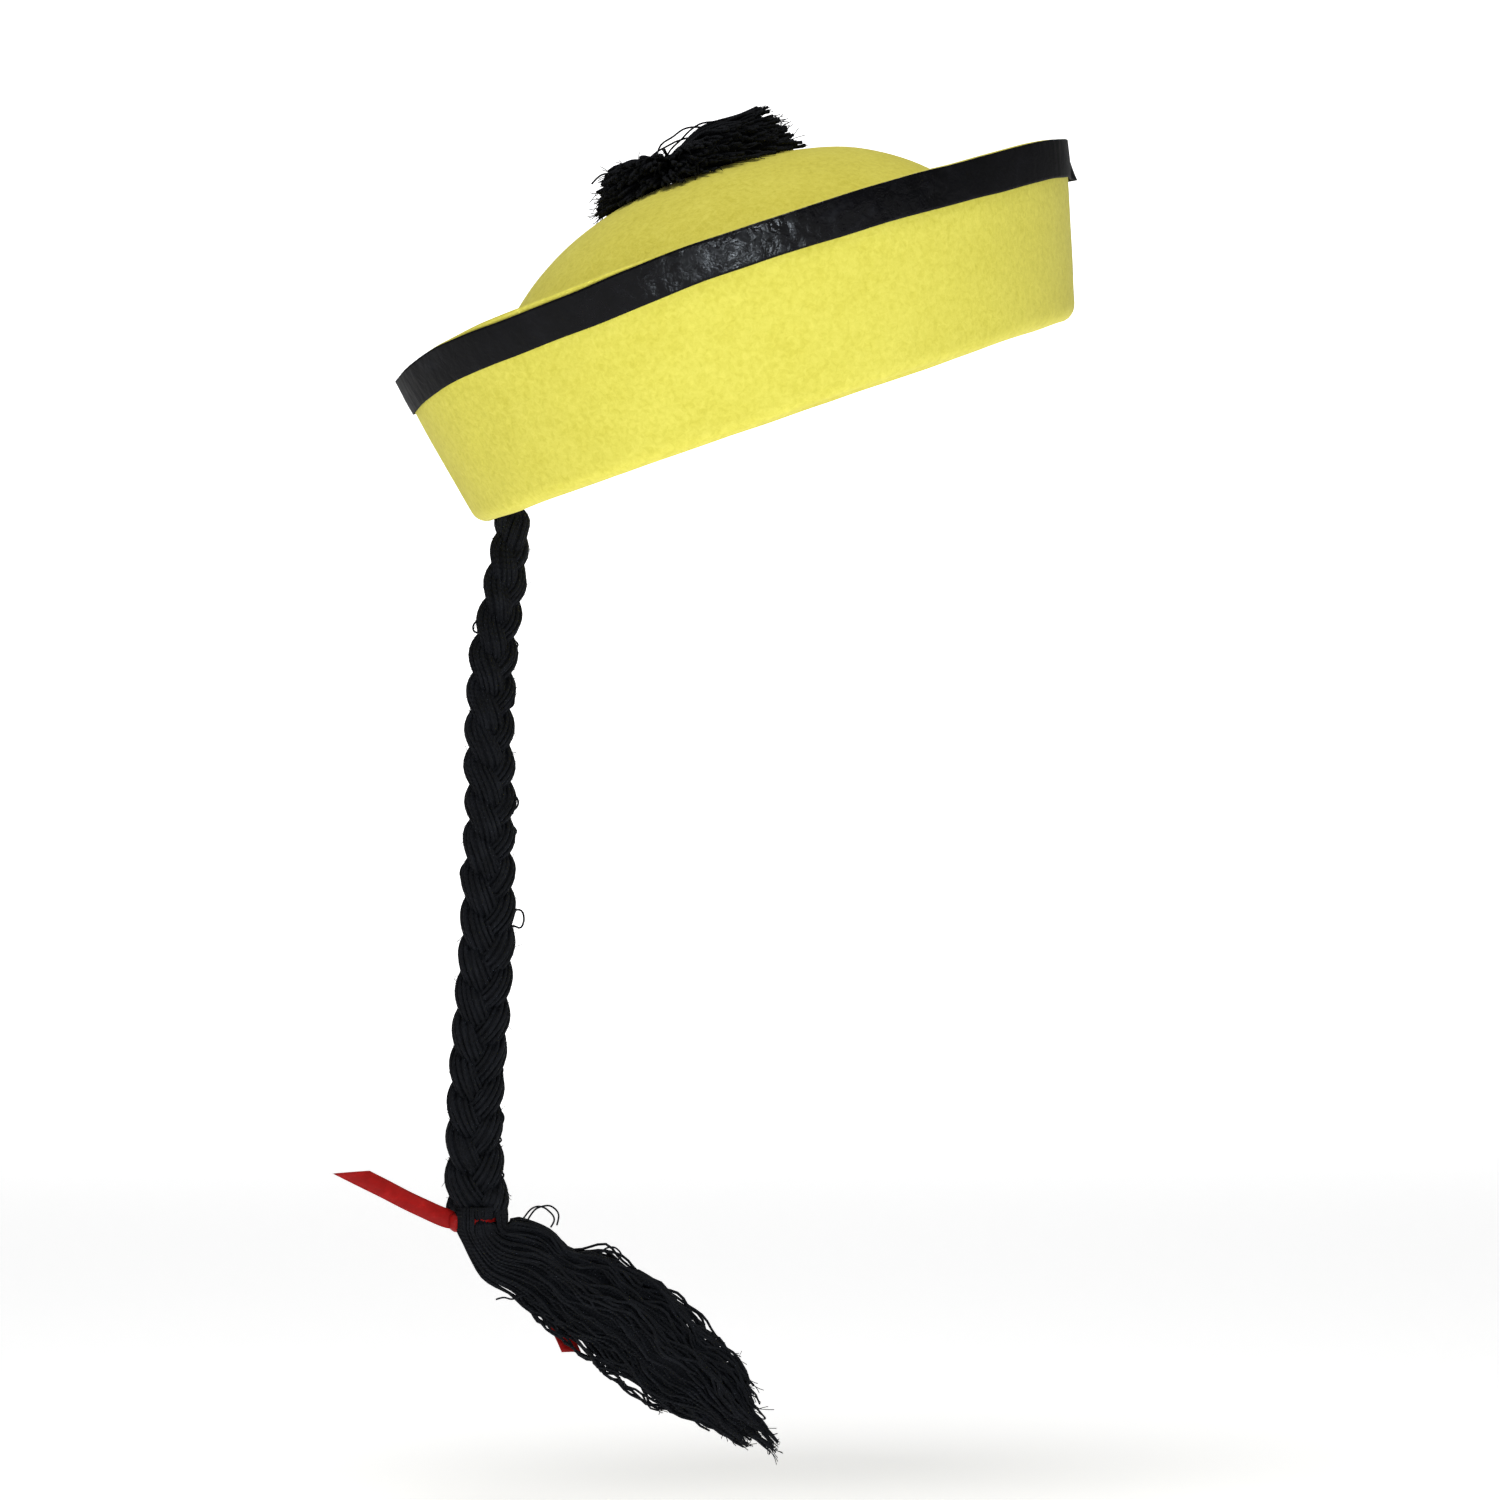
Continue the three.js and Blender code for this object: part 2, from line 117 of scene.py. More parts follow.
# The plait itself, and how it swells and turns along its route, fitted to the photograph
PLAIT = {"across": 0.006, "through": 0.003, "strand": 0.0039, "pitch": 0.0384, "starts": 0.014, "full": 0.030}
PLAIT_SWELL = [
    {"along": 0.014, "scale": 0.82, "turn": 36.0, "reach": 0.62, "bulk": 1.42},
    {"along": 0.030, "scale": 0.80, "turn": 36.0, "reach": 0.68, "bulk": 1.38},
    {"along": 0.050, "scale": 0.83, "turn": 36.0, "reach": 0.76, "bulk": 1.32},
    {"along": 0.068, "scale": 0.93, "turn": 36.0, "reach": 0.80, "bulk": 1.28},
    {"along": 0.120, "scale": 0.97, "turn": 34.0, "reach": 0.80, "bulk": 1.28},
    {"along": 0.165, "scale": 1.04, "turn": 5.0, "reach": 0.78, "bulk": 1.30},
    {"along": 0.236, "scale": 1.05, "turn": 0.0, "reach": 0.78, "bulk": 1.30},
    {"along": 0.250, "scale": 1.14, "turn": 0.0, "reach": 0.80, "bulk": 1.28},
    {"along": 0.258, "scale": 1.20, "turn": 0.0, "reach": 0.80, "bulk": 1.28},
]
BRAID_RINGS = 204
BRAID_HEART = {"begins": 0.17, "radius": 0.0043}
STRAND_YARNS = 15
STRAND_YARN = 0.00058
STRAND_LAY = {"pitch": 0.030, "wave": 0.009, "turn": 0.24, "out": 0.00042, "thick": 0.22}
CORE_SIDES = 12
BRAID_HAIRS = 2000
BRAID_SLUBS = 110
SLUB = {"height": 0.0008, "least": 0.7, "most": 1.5, "jitter": 0.00025, "radius": 0.00036}
# A fibre off a yarn's side, and a ply at its cut end
HAIR = {"lengths": (0.0008, 0.0024), "curl": 0.3, "radius": 0.00011}
FRAY = {"lengths": (0.0015, 0.0042), "curl": 0.25, "radius": 0.00017}
BRAID_CURLS = [
    [[-0.0950, -0.0010, -0.1785], [-0.0926, -0.0030, -0.1768], [-0.0903, -0.0035, -0.1775],
     [-0.0890, -0.0030, -0.1748], [-0.0897, -0.0025, -0.1716], [-0.0916, -0.0020, -0.1712],
     [-0.0926, -0.0015, -0.1738], [-0.0935, 0.0000, -0.1765], [-0.0955, 0.0005, -0.1770]],
    [[-0.1030, -0.0010, -0.0700], [-0.1054, -0.0020, -0.0706], [-0.1066, -0.0020, -0.0722],
     [-0.1064, -0.0015, -0.0740], [-0.1040, -0.0010, -0.0750]],
    [[-0.0945, -0.0010, -0.1325], [-0.0918, -0.0020, -0.1318], [-0.0909, -0.0020, -0.1340],
     [-0.0922, -0.0015, -0.1362], [-0.0950, -0.0010, -0.1366]],
]

# The tassel's middle line and half widths, as in the solid
TASSEL_ROWS = [
    {"x": -0.1040, "z": -0.2829, "half": 0.0062, "deep": 0.0062},
    {"x": -0.1025, "z": -0.2876, "half": 0.0070, "deep": 0.0080},
    {"x": -0.0978, "z": -0.2909, "half": 0.0102, "deep": 0.0110},
    {"x": -0.0857, "z": -0.2945, "half": 0.0139, "deep": 0.0140},
    {"x": -0.0658, "z": -0.3065, "half": 0.0179, "deep": 0.0155},
    {"x": -0.0474, "z": -0.3189, "half": 0.0192, "deep": 0.0160},
    {"x": -0.0343, "z": -0.3312, "half": 0.0175, "deep": 0.0150},
    {"x": -0.0246, "z": -0.3399, "half": 0.0142, "deep": 0.0130},
    {"x": -0.0136, "z": -0.3501, "half": 0.0100, "deep": 0.0105},
    {"x": -0.0031, "z": -0.3594, "half": 0.0065, "deep": 0.0075},
]
# Swells of its outline, (share of its length, spread, size), and the length at which its locks are cut
TASSEL_SWELLS = [(0.08, 0.10, 0.0042), (0.25, 0.045, -0.0045), (0.325, 0.03, 0.0014)]
TASSEL_CUT = [[-0.8, -0.3, 0.2, 0.8], [0.865, 0.895, 0.925, 0.79]]
TASSEL_LOCKS = 27
TASSEL_FILL = 0.80
LOCK_YARNS = 14
LOCK_SPREAD = 0.23
TASSEL_RUN = 0.125
TASSEL_STEPS = 121
# Its ends spread: upwards, less so downwards, and to the sides
TASSEL_ENDS = {"begin": 0.66, "full": 0.84, "up": 0.42, "down": -0.16, "sideways": 0.25}
TASSEL_CORE = {"first": 0.07, "last": 0.86, "rings": 40, "sides": 20, "slim": 0.66, "narrows": 0.70}
TASSEL_STRAYS = [
    [[-0.0900, -0.0060, -0.2790], [-0.0860, -0.0065, -0.2748], [-0.0815, -0.0060, -0.2752],
     [-0.0785, -0.0055, -0.2790], [-0.0800, -0.0060, -0.2815]],
    [[-0.0880, -0.0020, -0.2800], [-0.0850, -0.0030, -0.2757], [-0.0800, -0.0030, -0.2745],
     [-0.0768, -0.0030, -0.2775], [-0.0775, -0.0020, -0.2810]],
    [[-0.0900, -0.0080, -0.3055], [-0.0935, -0.0085, -0.3062], [-0.0965, -0.0080, -0.3058],
     [-0.0990, -0.0075, -0.3066]],
    [[-0.0640, -0.0090, -0.2925], [-0.0610, -0.0095, -0.2890], [-0.0580, -0.0095, -0.2885],
     [-0.0555, -0.0090, -0.2915], [-0.0585, -0.0085, -0.2940]],
]
TASSEL_YARN = 0.00053

# How the tassel's yarns pass the ribbon: (height above it, distance from the middle, arch)
NECK_STEPS = [(0.0046, 0.0094, 0.0), (0.0026, 0.0098, 0.0), (0.0, 0.0092, 0.0), (-0.0024, 0.0096, 0.0006),
              (-0.0042, 0.0088, 0.0014)]
NECK_TUCKED = 0.0054

# Ribbon
RIBBON = {"width": 0.0068, "thickness": 0.00035}
WRAP = {"x": -0.10435, "z": -0.27935, "tip": 8.0, "inner": 0.0066, "width": 0.0020}
WRAP_CUP = 0.0004
# Ripples round the wrap: (how many, height, lean across the ribbon)
WRAP_RIPPLES = [(7, 0.00018, 1.5), (17, 0.0001, 1.0)]
KNOT = {"x": -0.1123, "z": -0.2803, "deep": 0.0009, "wide": 0.00154, "high": 0.001736, "lean": 0.5}
KNOT_ROLL = (0.0017, 0.0023)
RIBBON_COLUMNS = 9
RIBBON_CUP = 0.0005
TAIL_UP = {
    "route": [[-0.1122, 0, -0.2802], [-0.1176, -0.0012, -0.2780], [-0.1252, -0.002, -0.2740],
              [-0.1366, -0.0025, -0.2682], [-0.1491, -0.003, -0.2620]],
    "across": [0.42, 0.25, 0.87],
    "slant": -0.0056,
}
TAIL_DOWN = {
    "route": [[-0.1070, 0.0080, -0.2800], [-0.1046, 0.0115, -0.2835], [-0.0984, 0.0142, -0.2895],
              [-0.0885, 0.0152, -0.2990], [-0.0788, 0.0135, -0.3110], [-0.074, 0.010, -0.320],
              [-0.0713, 0.0076, -0.3264]],
    "across": [-0.75, -0.45, -0.48],
    "slant": -0.0011,
}

# The photograph: 0.35 mm a pixel in the plane of the pigtail
PHOTO_CENTRE = (-0.00945, 0.0, -0.1155)
PHOTO_WIDTH = 0.525
CAMERA_AWAY = 2.6
CAMERA_TURN = -6.0
SENSOR = 36.0

# The stage. Each light: (name, place, what it points at, width and height, watts, colour)
FLOOR = -0.385
FLOOR_REACH = {"x": (-4.0, 4.0), "y": (-4.0, 3.0), "glow": 0.53}
BACKDROP = {"x": (-1.2, 1.9), "y": 3.0, "sweep": 0.5, "top": 2.0, "glow": 0.95}
WHITE = (1.0, 1.0, 1.0)
HAT_MIDDLE = (-0.02, 0.0, -0.05)
LIGHTS = [
    ("key", (-0.05, -2.0, 0.30), HAT_MIDDLE, (0.6, 0.6), 2.4, WHITE),
    ("glint", (0.07, -1.0, -0.335), (-0.02, -0.1, 0.06), (0.28, 0.06), 3.3, (0.82, 0.91, 1.0)),
    ("top", (-0.2, -0.7, 1.6), HAT_MIDDLE, (0.9, 0.9), 17.6, WHITE),
]
WORLD_LIGHT = 0.20
WORLD_SEEN = 0.80

SIDEWAYS = np.array([0.0, 1.0, 0.0])
rng = np.random.default_rng(7)
noise.seed_set(53)  # without it, noise_vector starts from the clock


# Small helpers

def unit(v):
    v = np.asarray(v, float)
    return v / np.maximum(np.linalg.norm(v, axis=-1, keepdims=True), 1e-12)


def smoothstep(x, low, high):
    t = np.clip((np.asarray(x, float) - low) / (high - low), 0, 1)
    return t * t * (3 - 2 * t)


def between(rows, column, place, wanted):
    """A value from a table of rows, eased from row to row as in the solids."""
    places = [row[column] for row in rows]
    values = [row[wanted] for row in rows]
    place = np.clip(np.asarray(place, float), places[0], places[-1])
    after = np.clip(np.searchsorted(places, place), 1, len(rows) - 1)
    low, high = np.take(places, after - 1), np.take(places, after)
    t = np.clip((place - low) / (high - low), 0, 1)
    t = t * t * (3 - 2 * t)
    return np.take(values, after - 1) * (1 - t) + np.take(values, after) * t


def smooth_line(points, count):
    """A centripetal Catmull-Rom line through the points, read at even steps along it."""
    p = np.asarray(points, float)
    p = np.vstack([2 * p[0] - p[1], p, 2 * p[-1] - p[-2]])
    pieces = []
    for a, b, c, d in zip(p, p[1:], p[2:], p[3:]):
        t0 = 0.0
        t1 = t0 + np.linalg.norm(b - a) ** 0.5
        t2 = t1 + np.linalg.norm(c - b) ** 0.5
        t3 = t2 + np.linalg.norm(d - c) ** 0.5
        t = np.linspace(t1, t2, 24, endpoint=False)[:, None]
        ab = a * (t1 - t) / (t1 - t0) + b * (t - t0) / (t1 - t0)
        bc = b * (t2 - t) / (t2 - t1) + c * (t - t1) / (t2 - t1)
        cd = c * (t3 - t) / (t3 - t2) + d * (t - t2) / (t3 - t2)
        abc = ab * (t2 - t) / (t2 - t0) + bc * (t - t0) / (t2 - t0)
        bcd = bc * (t3 - t) / (t3 - t1) + cd * (t - t1) / (t3 - t1)
        pieces.append(abc * (t2 - t) / (t2 - t1) + bcd * (t - t1) / (t2 - t1))
    fine = np.vstack(pieces + [p[-2:-1]])
    run = np.concatenate([[0], np.cumsum(np.linalg.norm(np.diff(fine, axis=0), axis=1))])
    places = np.linspace(0, run[-1], count)
    line = np.column_stack([np.interp(places, run, fine[:, k]) for k in range(3)])
    return line, places


def tangents(line):
    return unit(np.gradient(line, axis=0))


def carried_frames(line):
    """The way along a line, and two directions square to it that are carried along without twist."""
    ahead = tangents(line)
    normal = np.cross(ahead[0], SIDEWAYS)
    if np.linalg.norm(normal) < 0.1:
        normal = np.cross(ahead[0], [1.0, 0.2, 0.1])
    normals = []
    for t in ahead:
        normal = unit(normal - np.dot(normal, t) * t)
        normals.append(normal)
    normals = np.array(normals)
    return ahead, normals, np.cross(ahead, normals)


def around(count):
    """Even turns round a full circle."""
    return 2 * np.pi * np.arange(count) / count


def drift(points, size, amount, seed):
    """A smooth random shift of points, that varies over the given size."""
    offset = Vector((seed * 13.7, seed * 5.1, seed * 9.3))
    moves = [noise.noise_vector(Vector(p) / size + offset) for p in np.asarray(points).reshape(-1, 3)]
    return np.array(moves).reshape(np.shape(points)) * amount


class Patch:
    """Vertices, faces and face-corner coordinates, gathered for one mesh."""

    def __init__(self):
        self.points, self.faces, self.corners, self.count = [], [], [], 0

    def grid(self, points, loop=False, ring=True, along=1.0):
        """A grid of points, rows by columns, closed round its columns and, if asked, round its rows."""
        rows, columns = points.shape[:2]
        numbers = np.arange(rows * columns).reshape(rows, columns) + self.count
        r = np.arange(rows if loop else rows - 1)
        c = np.arange(columns if ring else columns - 1)
        r, c = (x.ravel() for x in np.meshgrid(r, c, indexing="ij"))
        r2, c2 = (r + 1) % rows, (c + 1) % columns
        quads = np.column_stack([numbers[r, c], numbers[r, c2], numbers[r2, c2], numbers[r2, c]])
        u = np.column_stack([c, c + 1, c + 1, c]) / columns
        v = np.column_stack([r, r, r + 1, r + 1]) / max(rows - 1, 1) * along
        self.points.append(points.reshape(-1, 3))
        self.faces.extend(quads.tolist())
        self.corners.append(np.stack([u, v], -1).reshape(-1, 2))
        self.count += rows * columns

    def fan(self, first, sides, tip, flip):
        """Closes an open ring, whose points are numbered from first, with a fan round one point."""
        self.points.append(np.asarray(tip, float).reshape(1, 3))
        for i in range(sides):
            a, b = first + i, first + (i + 1) % sides
            self.faces.append([self.count, b, a] if flip else [self.count, a, b])
        self.corners.append(np.zeros((3 * sides, 2)))
        self.count += 1

    def closed(self, points, first_tip, last_tip, along=1.0):
        """A grid of rings that is closed at both ends."""
        rings, sides = points.shape[:2]
        start = self.count
        self.grid(points, along=along)
        self.fan(start, sides, first_tip, True)
        self.fan(start + (rings - 1) * sides, sides, last_tip, False)

    def tube(self, line, radius, sides):
        """A closed tube with rounded ends round a line."""
        ahead, normals, others = carried_frames(line)
        turn = around(sides)
        radius = np.broadcast_to(radius, len(line))[:, None, None]
        offsets = radius * (
            np.cos(turn)[None, :, None] * normals[:, None] + np.sin(turn)[None, :, None] * others[:, None]
        )
        length = np.linalg.norm(np.diff(line, axis=0), axis=1).sum()
        bulge = float(radius.ravel()[0]) * 0.5
        self.closed(line[:, None] + offsets, line[0] - ahead[0] * bulge, line[-1] + ahead[-1] * bulge, length)

    def object(self, name, material):
        mesh = bpy.data.meshes.new(name)
        mesh.from_pydata(np.vstack(self.points).tolist(), [], self.faces)
        layer = mesh.uv_layers.new(name="UVMap")
        layer.data.foreach_set("uv", np.vstack(self.corners).astype(np.float32).ravel())
        mesh.polygons.foreach_set("use_smooth", [True] * len(mesh.polygons))
        mesh.materials.append(material)
        mesh.validate()
        mesh.update()
        made = bpy.data.objects.new(name, mesh)
        bpy.context.scene.collection.objects.link(made)
        return made


# Materials

class Nodes:
    """A material's node tree, with short calls to add and join nodes."""

    def __init__(self, name):
        self.material = bpy.data.materials.new(name)
        self.material.use_nodes = True
        self.tree = self.material.node_tree
        self.shader = self.tree.nodes["Principled BSDF"]

    def add(self, kind, **settings):
        node = self.tree.nodes.new(kind)
        for key, value in settings.items():
            setattr(node, key, value)
        return node

    def join(self, output, target):
        self.tree.links.new(output, target)

    def set(self, **values):
        for key, value in values.items():
            self.shader.inputs[key.replace("_", " ")].default_value = value

    def coordinates(self, kind="Object", scale=(1, 1, 1), rotation=(0, 0, 0)):
        source = self.add("ShaderNodeTexCoord")
        mapping = self.add("ShaderNodeMapping")
        mapping.inputs["Scale"].default_value = scale
        mapping.inputs["Rotation"].default_value = rotation
        self.join(source.outputs[kind], mapping.inputs["Vector"])
        return mapping.outputs["Vector"]

    def noise(self, vector, scale, detail=4.0, roughness=0.55, distortion=0.0):
        node = self.add("ShaderNodeTexNoise")
        node.inputs["Scale"].default_value = scale
        node.inputs["Detail"].default_value = detail
        node.inputs["Roughness"].default_value = roughness
        node.inputs["Distortion"].default_value = distortion
        self.join(vector, node.inputs["Vector"])
        return node.outputs["Fac"]

    def ramp(self, value, stops):
        node = self.add("ShaderNodeValToRGB")
        elements = node.color_ramp.elements
        while len(elements) < len(stops):
            elements.new(0.5)
        for element, (place, colour) in zip(elements, stops):
            element.position = place
            element.color = (*colour, 1.0)
        self.join(value, node.inputs["Fac"])
        return node.outputs["Color"]

    def maths(self, operation, *values):
        node = self.add("ShaderNodeMath", operation=operation)
        for value, target in zip(values, node.inputs):
            if isinstance(value, (int, float)):
                target.default_value = value
            else:
                self.join(value, target)
        return node.outputs["Value"]

    def bump(self, height, strength, distance, before=None):
        node = self.add("ShaderNodeBump")
        node.inputs["Strength"].default_value = strength
        node.inputs["Distance"].default_value = distance
        self.join(height, node.inputs["Height"])
        if before is not None:
            self.join(before, node.inputs["Normal"])
        return node.outputs["Normal"]

    def finish(self, colour=None, normal=None, roughness=None):
        if colour is not None:
            self.join(colour, self.shader.inputs["Base Color"])
        if normal is not None:
            self.join(normal, self.shader.inputs["Normal"])
        if roughness is not None:
            self.join(roughness, self.shader.inputs["Roughness"])
        return self.material


def felt_material():
    """Moulded felt: matted short fibres, faint cloudy tone, a soft nap."""
    n = Nodes("felt_yellow")
    place = n.coordinates()
    cloud = n.noise(place, 60, 3, 0.5)
    mat = n.noise(place, 500, 5, 0.68, 0.6)
    streaks = n.noise(n.coordinates(scale=(1.0, 1.0, 0.35), rotation=(0.3, -0.33, 0.2)), 950, 3, 0.6, 1.2)
    tone = n.maths("ADD", n.maths("MULTIPLY", cloud, 0.22), n.maths("MULTIPLY", mat, 0.78))
    yellows = [(0.32, (0.67, 0.596, 0.066)), (0.5, (0.765, 0.690, 0.096)), (0.68, (0.84, 0.767, 0.132))]
    height = n.maths("ADD", n.maths("MULTIPLY", mat, 0.7), n.maths("MULTIPLY", streaks, 0.5))
    normal = n.bump(height, 0.55, 0.0006, n.bump(cloud, 0.3, 0.002))
    n.set(Roughness=0.92, Sheen_Weight=0.12, Sheen_Roughness=0.5, Specular_IOR_Level=0.35)
    n.set(Sheen_Tint=(1.0, 0.95, 0.6, 1.0))
    return n.finish(n.ramp(tone, yellows), normal)


def tape_material():
    """Black satin tape: small creases that catch the light near the middle of each side, duller ends."""
    n = Nodes("satin_black")
    place = n.coordinates()
    creases = n.noise(place, 210, 4, 0.6, 0.8)
    fine = n.noise(place, 900, 2, 0.5)
    blotch = n.noise(place, 90, 3, 0.6, 0.5)
    blacks = [(0.3, (0.0015, 0.0016, 0.0020)), (0.6, (0.003, 0.003, 0.004)), (0.8, (0.008, 0.0085, 0.011))]
    rough = n.ramp(creases, [(0.48, (0.09, 0.09, 0.09)), (0.64, (0.48, 0.48, 0.48))])
    split = n.add("ShaderNodeSeparateXYZ")
    n.join(place, split.inputs["Vector"])
    off_middle = n.maths("ABSOLUTE", n.maths("ADD", split.outputs["X"], 0.017))
    dull = n.ramp(n.maths("MULTIPLY", off_middle, 10.0), [(0.45, (0.0, 0.0, 0.0)), (0.85, (0.5, 0.5, 0.5))])
    rough = n.maths("MAXIMUM", rough, n.maths("ADD", dull, 0.08))
    normal = n.bump(fine, 0.28, 0.0003, n.bump(creases, 0.22, 0.0018))
    n.set(Specular_IOR_Level=0.12, Anisotropic=0.3)
    return n.finish(n.ramp(blotch, blacks), normal, rough)


def yarn_material():
    """Black acrylic yarn: plies that wind round each thread, matt with a faint cold sheen."""
    n = Nodes("yarn_black")
    place = n.coordinates("UV", scale=(1.0, 420.0, 1.0))
    wave = n.add("ShaderNodeTexWave", wave_type="BANDS", bands_direction="DIAGONAL")
    wave.inputs["Scale"].default_value = 1.0
    wave.inputs["Distortion"].default_value = 0.6
    n.join(place, wave.inputs["Vector"])
    hairs = n.noise(n.coordinates(), 1800, 3, 0.6)
    tone = n.noise(n.coordinates(), 160, 3, 0.6)
    blacks = [(0.3, (0.0030, 0.0033, 0.0042)), (0.55, (0.0052, 0.0058, 0.0078)),
              (0.75, (0.010, 0.011, 0.014))]
    normal = n.bump(hairs, 0.4, 0.0003, n.bump(wave.outputs["Fac"], 0.6, 0.0005))
    n.set(Roughness=0.8, Sheen_Weight=0.02, Sheen_Roughness=0.4, Specular_IOR_Level=0.14)
    n.set(Sheen_Tint=(0.7, 0.8, 1.0, 1.0))
    return n.finish(n.ramp(tone, blacks), normal)


def ribbon_material():
    """Red satin ribbon: fine threads along it, a soft gleam."""
    n = Nodes("ribbon_red")
    threads = n.noise(n.coordinates("UV", scale=(60.0, 30.0, 1.0)), 30, 2, 0.5)
    cloud = n.noise(n.coordinates(), 260, 3, 0.6)
    reds = [(0.3, (0.25, 0.005, 0.004)), (0.6, (0.33, 0.007, 0.006)), (0.8, (0.41, 0.012, 0.010))]
    normal = n.bump(threads, 0.3, 0.0002, n.bump(cloud, 0.25, 0.001))
    n.set(Roughness=0.42, Anisotropic=0.4, Specular_IOR_Level=0.12)
    return n.finish(n.ramp(cloud, reds), normal)


def stage_material(name, glow):
    """Matt white, with a faint grain and a little light of its own."""
    n = Nodes(name)
    grain = n.noise(n.coordinates(), 60, 3, 0.5)
    n.set(Roughness=0.9, Emission_Color=(1.0, 1.0, 1.0, 1.0), Emission_Strength=glow)
    return n.finish(n.ramp(grain, [(0.35, (0.9062, 0.9062, 0.9062)), (0.65, (0.92, 0.92, 0.92))]))


FELT_YELLOW = felt_material()
SATIN_BLACK = tape_material()
YARN_BLACK = yarn_material()
RIBBON_RED = ribbon_material()

HAT_TURN = np.array(Matrix.Rotation(math.radians(-WORN_TILT), 3, "Y"))


def worn(points):
    """From the hat's own upright frame to the row frame, tipped back as it is worn."""
    return np.asarray(points, float) @ HAT_TURN.T


# The hat's shape

def crown_top(share, height):
    return height * (1 - np.asarray(share, float) ** CROWN_FULLNESS) ** (1 / CROWN_FULLNESS)


def flare_at(angle):
    forwards = np.cos(angle)
    end = np.where(forwards > 0, FLARE["front"], FLARE["back"])
    return np.radians(FLARE["side"] + (end - FLARE["side"]) * forwards**2)


def rim_height_at(angle):
    """The rim's height: higher at the sides, with a lift behind the near side and a dip at the back."""
    height = RIM_HEIGHT + RIM_SADDLE * np.sin(angle) ** 2 * (1 - RIM_SADDLE_BACK * np.cos(angle))
    for wave in (RIM_LIFT, RIM_DIP):
        away = (np.degrees(angle) - wave["turn"] + 540) % 360 - 180
        height = height + wave["height"] * np.exp(-((away / wave["spread"]) ** 2))
    return height


def cuff_point(angle, up, out):
    """(share, out, height) of a point of the brim's outer face, up from the fold and out from the face."""
    flare = flare_at(angle)
    fold_out, fold_height = FOLD_RADIUS * (1 + np.cos(flare)), FOLD_RADIUS * (1 - np.sin(flare))
    return (
        np.ones_like(angle),
        fold_out + up * np.sin(flare) + out * np.cos(flare),
        fold_height + up * np.cos(flare) - out * np.sin(flare),
    )


def cuff_length(angle):
    flare = flare_at(angle)
    return (rim_height_at(angle) - FOLD_RADIUS * (1 - np.sin(flare))) / np.cos(flare)


def place(row, angle):
    """Points of the hat, upright, from shares of the head's oval, distances out from it and heights."""
    share, out, height = row
    return np.column_stack([
        (HEAD_HALF_LENGTH * share + out) * np.cos(angle) + CROWN_LEAN * height / CROWN_HEIGHT,
        (HEAD_HALF_WIDTH * share + out) * np.sin(angle),
        height,
    ])


def felt_wander(points):
    """The slow unevenness of hand-pulled felt, the same for all that is sewn to it."""
    return sum(drift(points, size, amount, seed) for size, amount, seed in FELT_WANDER)


def dome_rows(out, height, ones):
    """The crown, from near its top down to the fold."""
    lowest = math.acos((FOLD_RADIUS / height) ** (CROWN_FULLNESS / 2))
    rows = []
    for i in range(FELT_STEPS["dome"]):
        share = math.sin(lowest * (i + 1) / FELT_STEPS["dome"]) ** (2 / CROWN_FULLNESS)
        rows.append((ones * share, ones * out * share, ones * float(crown_top(share, height))))
    return rows


def fold_rows(angle, radius):
    """The fold, from the crown's side round to the brim."""
    sweep = np.pi - flare_at(angle)
    rows = []
    for i in range(FELT_STEPS["fold"]):
        turn = np.pi + sweep * (i + 1) / FELT_STEPS["fold"]
        out, height = FOLD_RADIUS + radius * np.cos(turn), FOLD_RADIUS + radius * np.sin(turn)
        rows.append((np.ones_like(angle), out, height))
    return rows


def felt_object():
    """One skin of felt: inside the crown, round the fold, up the brim, over its cut edge and back down."""
    angle = around(FELT_STEPS["round"])
    ones = np.ones(FELT_STEPS["round"])
    side = cuff_length(angle) - FELT_EDGE
    ups = [side * (i + 1) / FELT_STEPS["cuff"] for i in range(FELT_STEPS["cuff"])]
    lip = [(math.sin(a) * FELT_EDGE, (1 - math.cos(a)) * FELT_EDGE) for a in np.radians(FELT_EDGE_TURNS)]
    rows = dome_rows(0, CROWN_HEIGHT - FELT, ones)
    rows += fold_rows(angle, FOLD_RADIUS)
    rows += [cuff_point(angle, up, 0) for up in ups]
    rows += [cuff_point(angle, side + rise, -inset) for rise, inset in lip]
    rows += [cuff_point(angle, side + rise, inset - FELT) for rise, inset in reversed(lip)]
    rows += [cuff_point(angle, up, -FELT) for up in reversed(ups)]
    rows += fold_rows(angle, FOLD_RADIUS - FELT)[::-1]
    rows += dome_rows(FELT, CROWN_HEIGHT, ones)[::-1]
    points = np.array([place(row, angle) for row in rows])
    inside, outside = (np.array([CROWN_LEAN, 0, height]) for height in (CROWN_HEIGHT - FELT, CROWN_HEIGHT))
    patch = Patch()
    patch.closed(*(worn(p + felt_wander(p)) for p in (points, inside, outside)))
    made = patch.object("felt_shell", FELT_YELLOW)
    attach(made, "root")
    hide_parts("felt_body")


def tape_drop(angle):
    """How far the tape's top edge lies below the rim's: more where it was sewn low, behind the near side."""
    signed = (np.degrees(angle) + 180) % 360 - 180
    low = smoothstep(signed, *TAPE_DROP["begins"]) * (1 - smoothstep(signed, *TAPE_DROP["ends"]))
    return TAPE_DROP["least"] + (TAPE_DROP["most"] - TAPE_DROP["least"]) * low


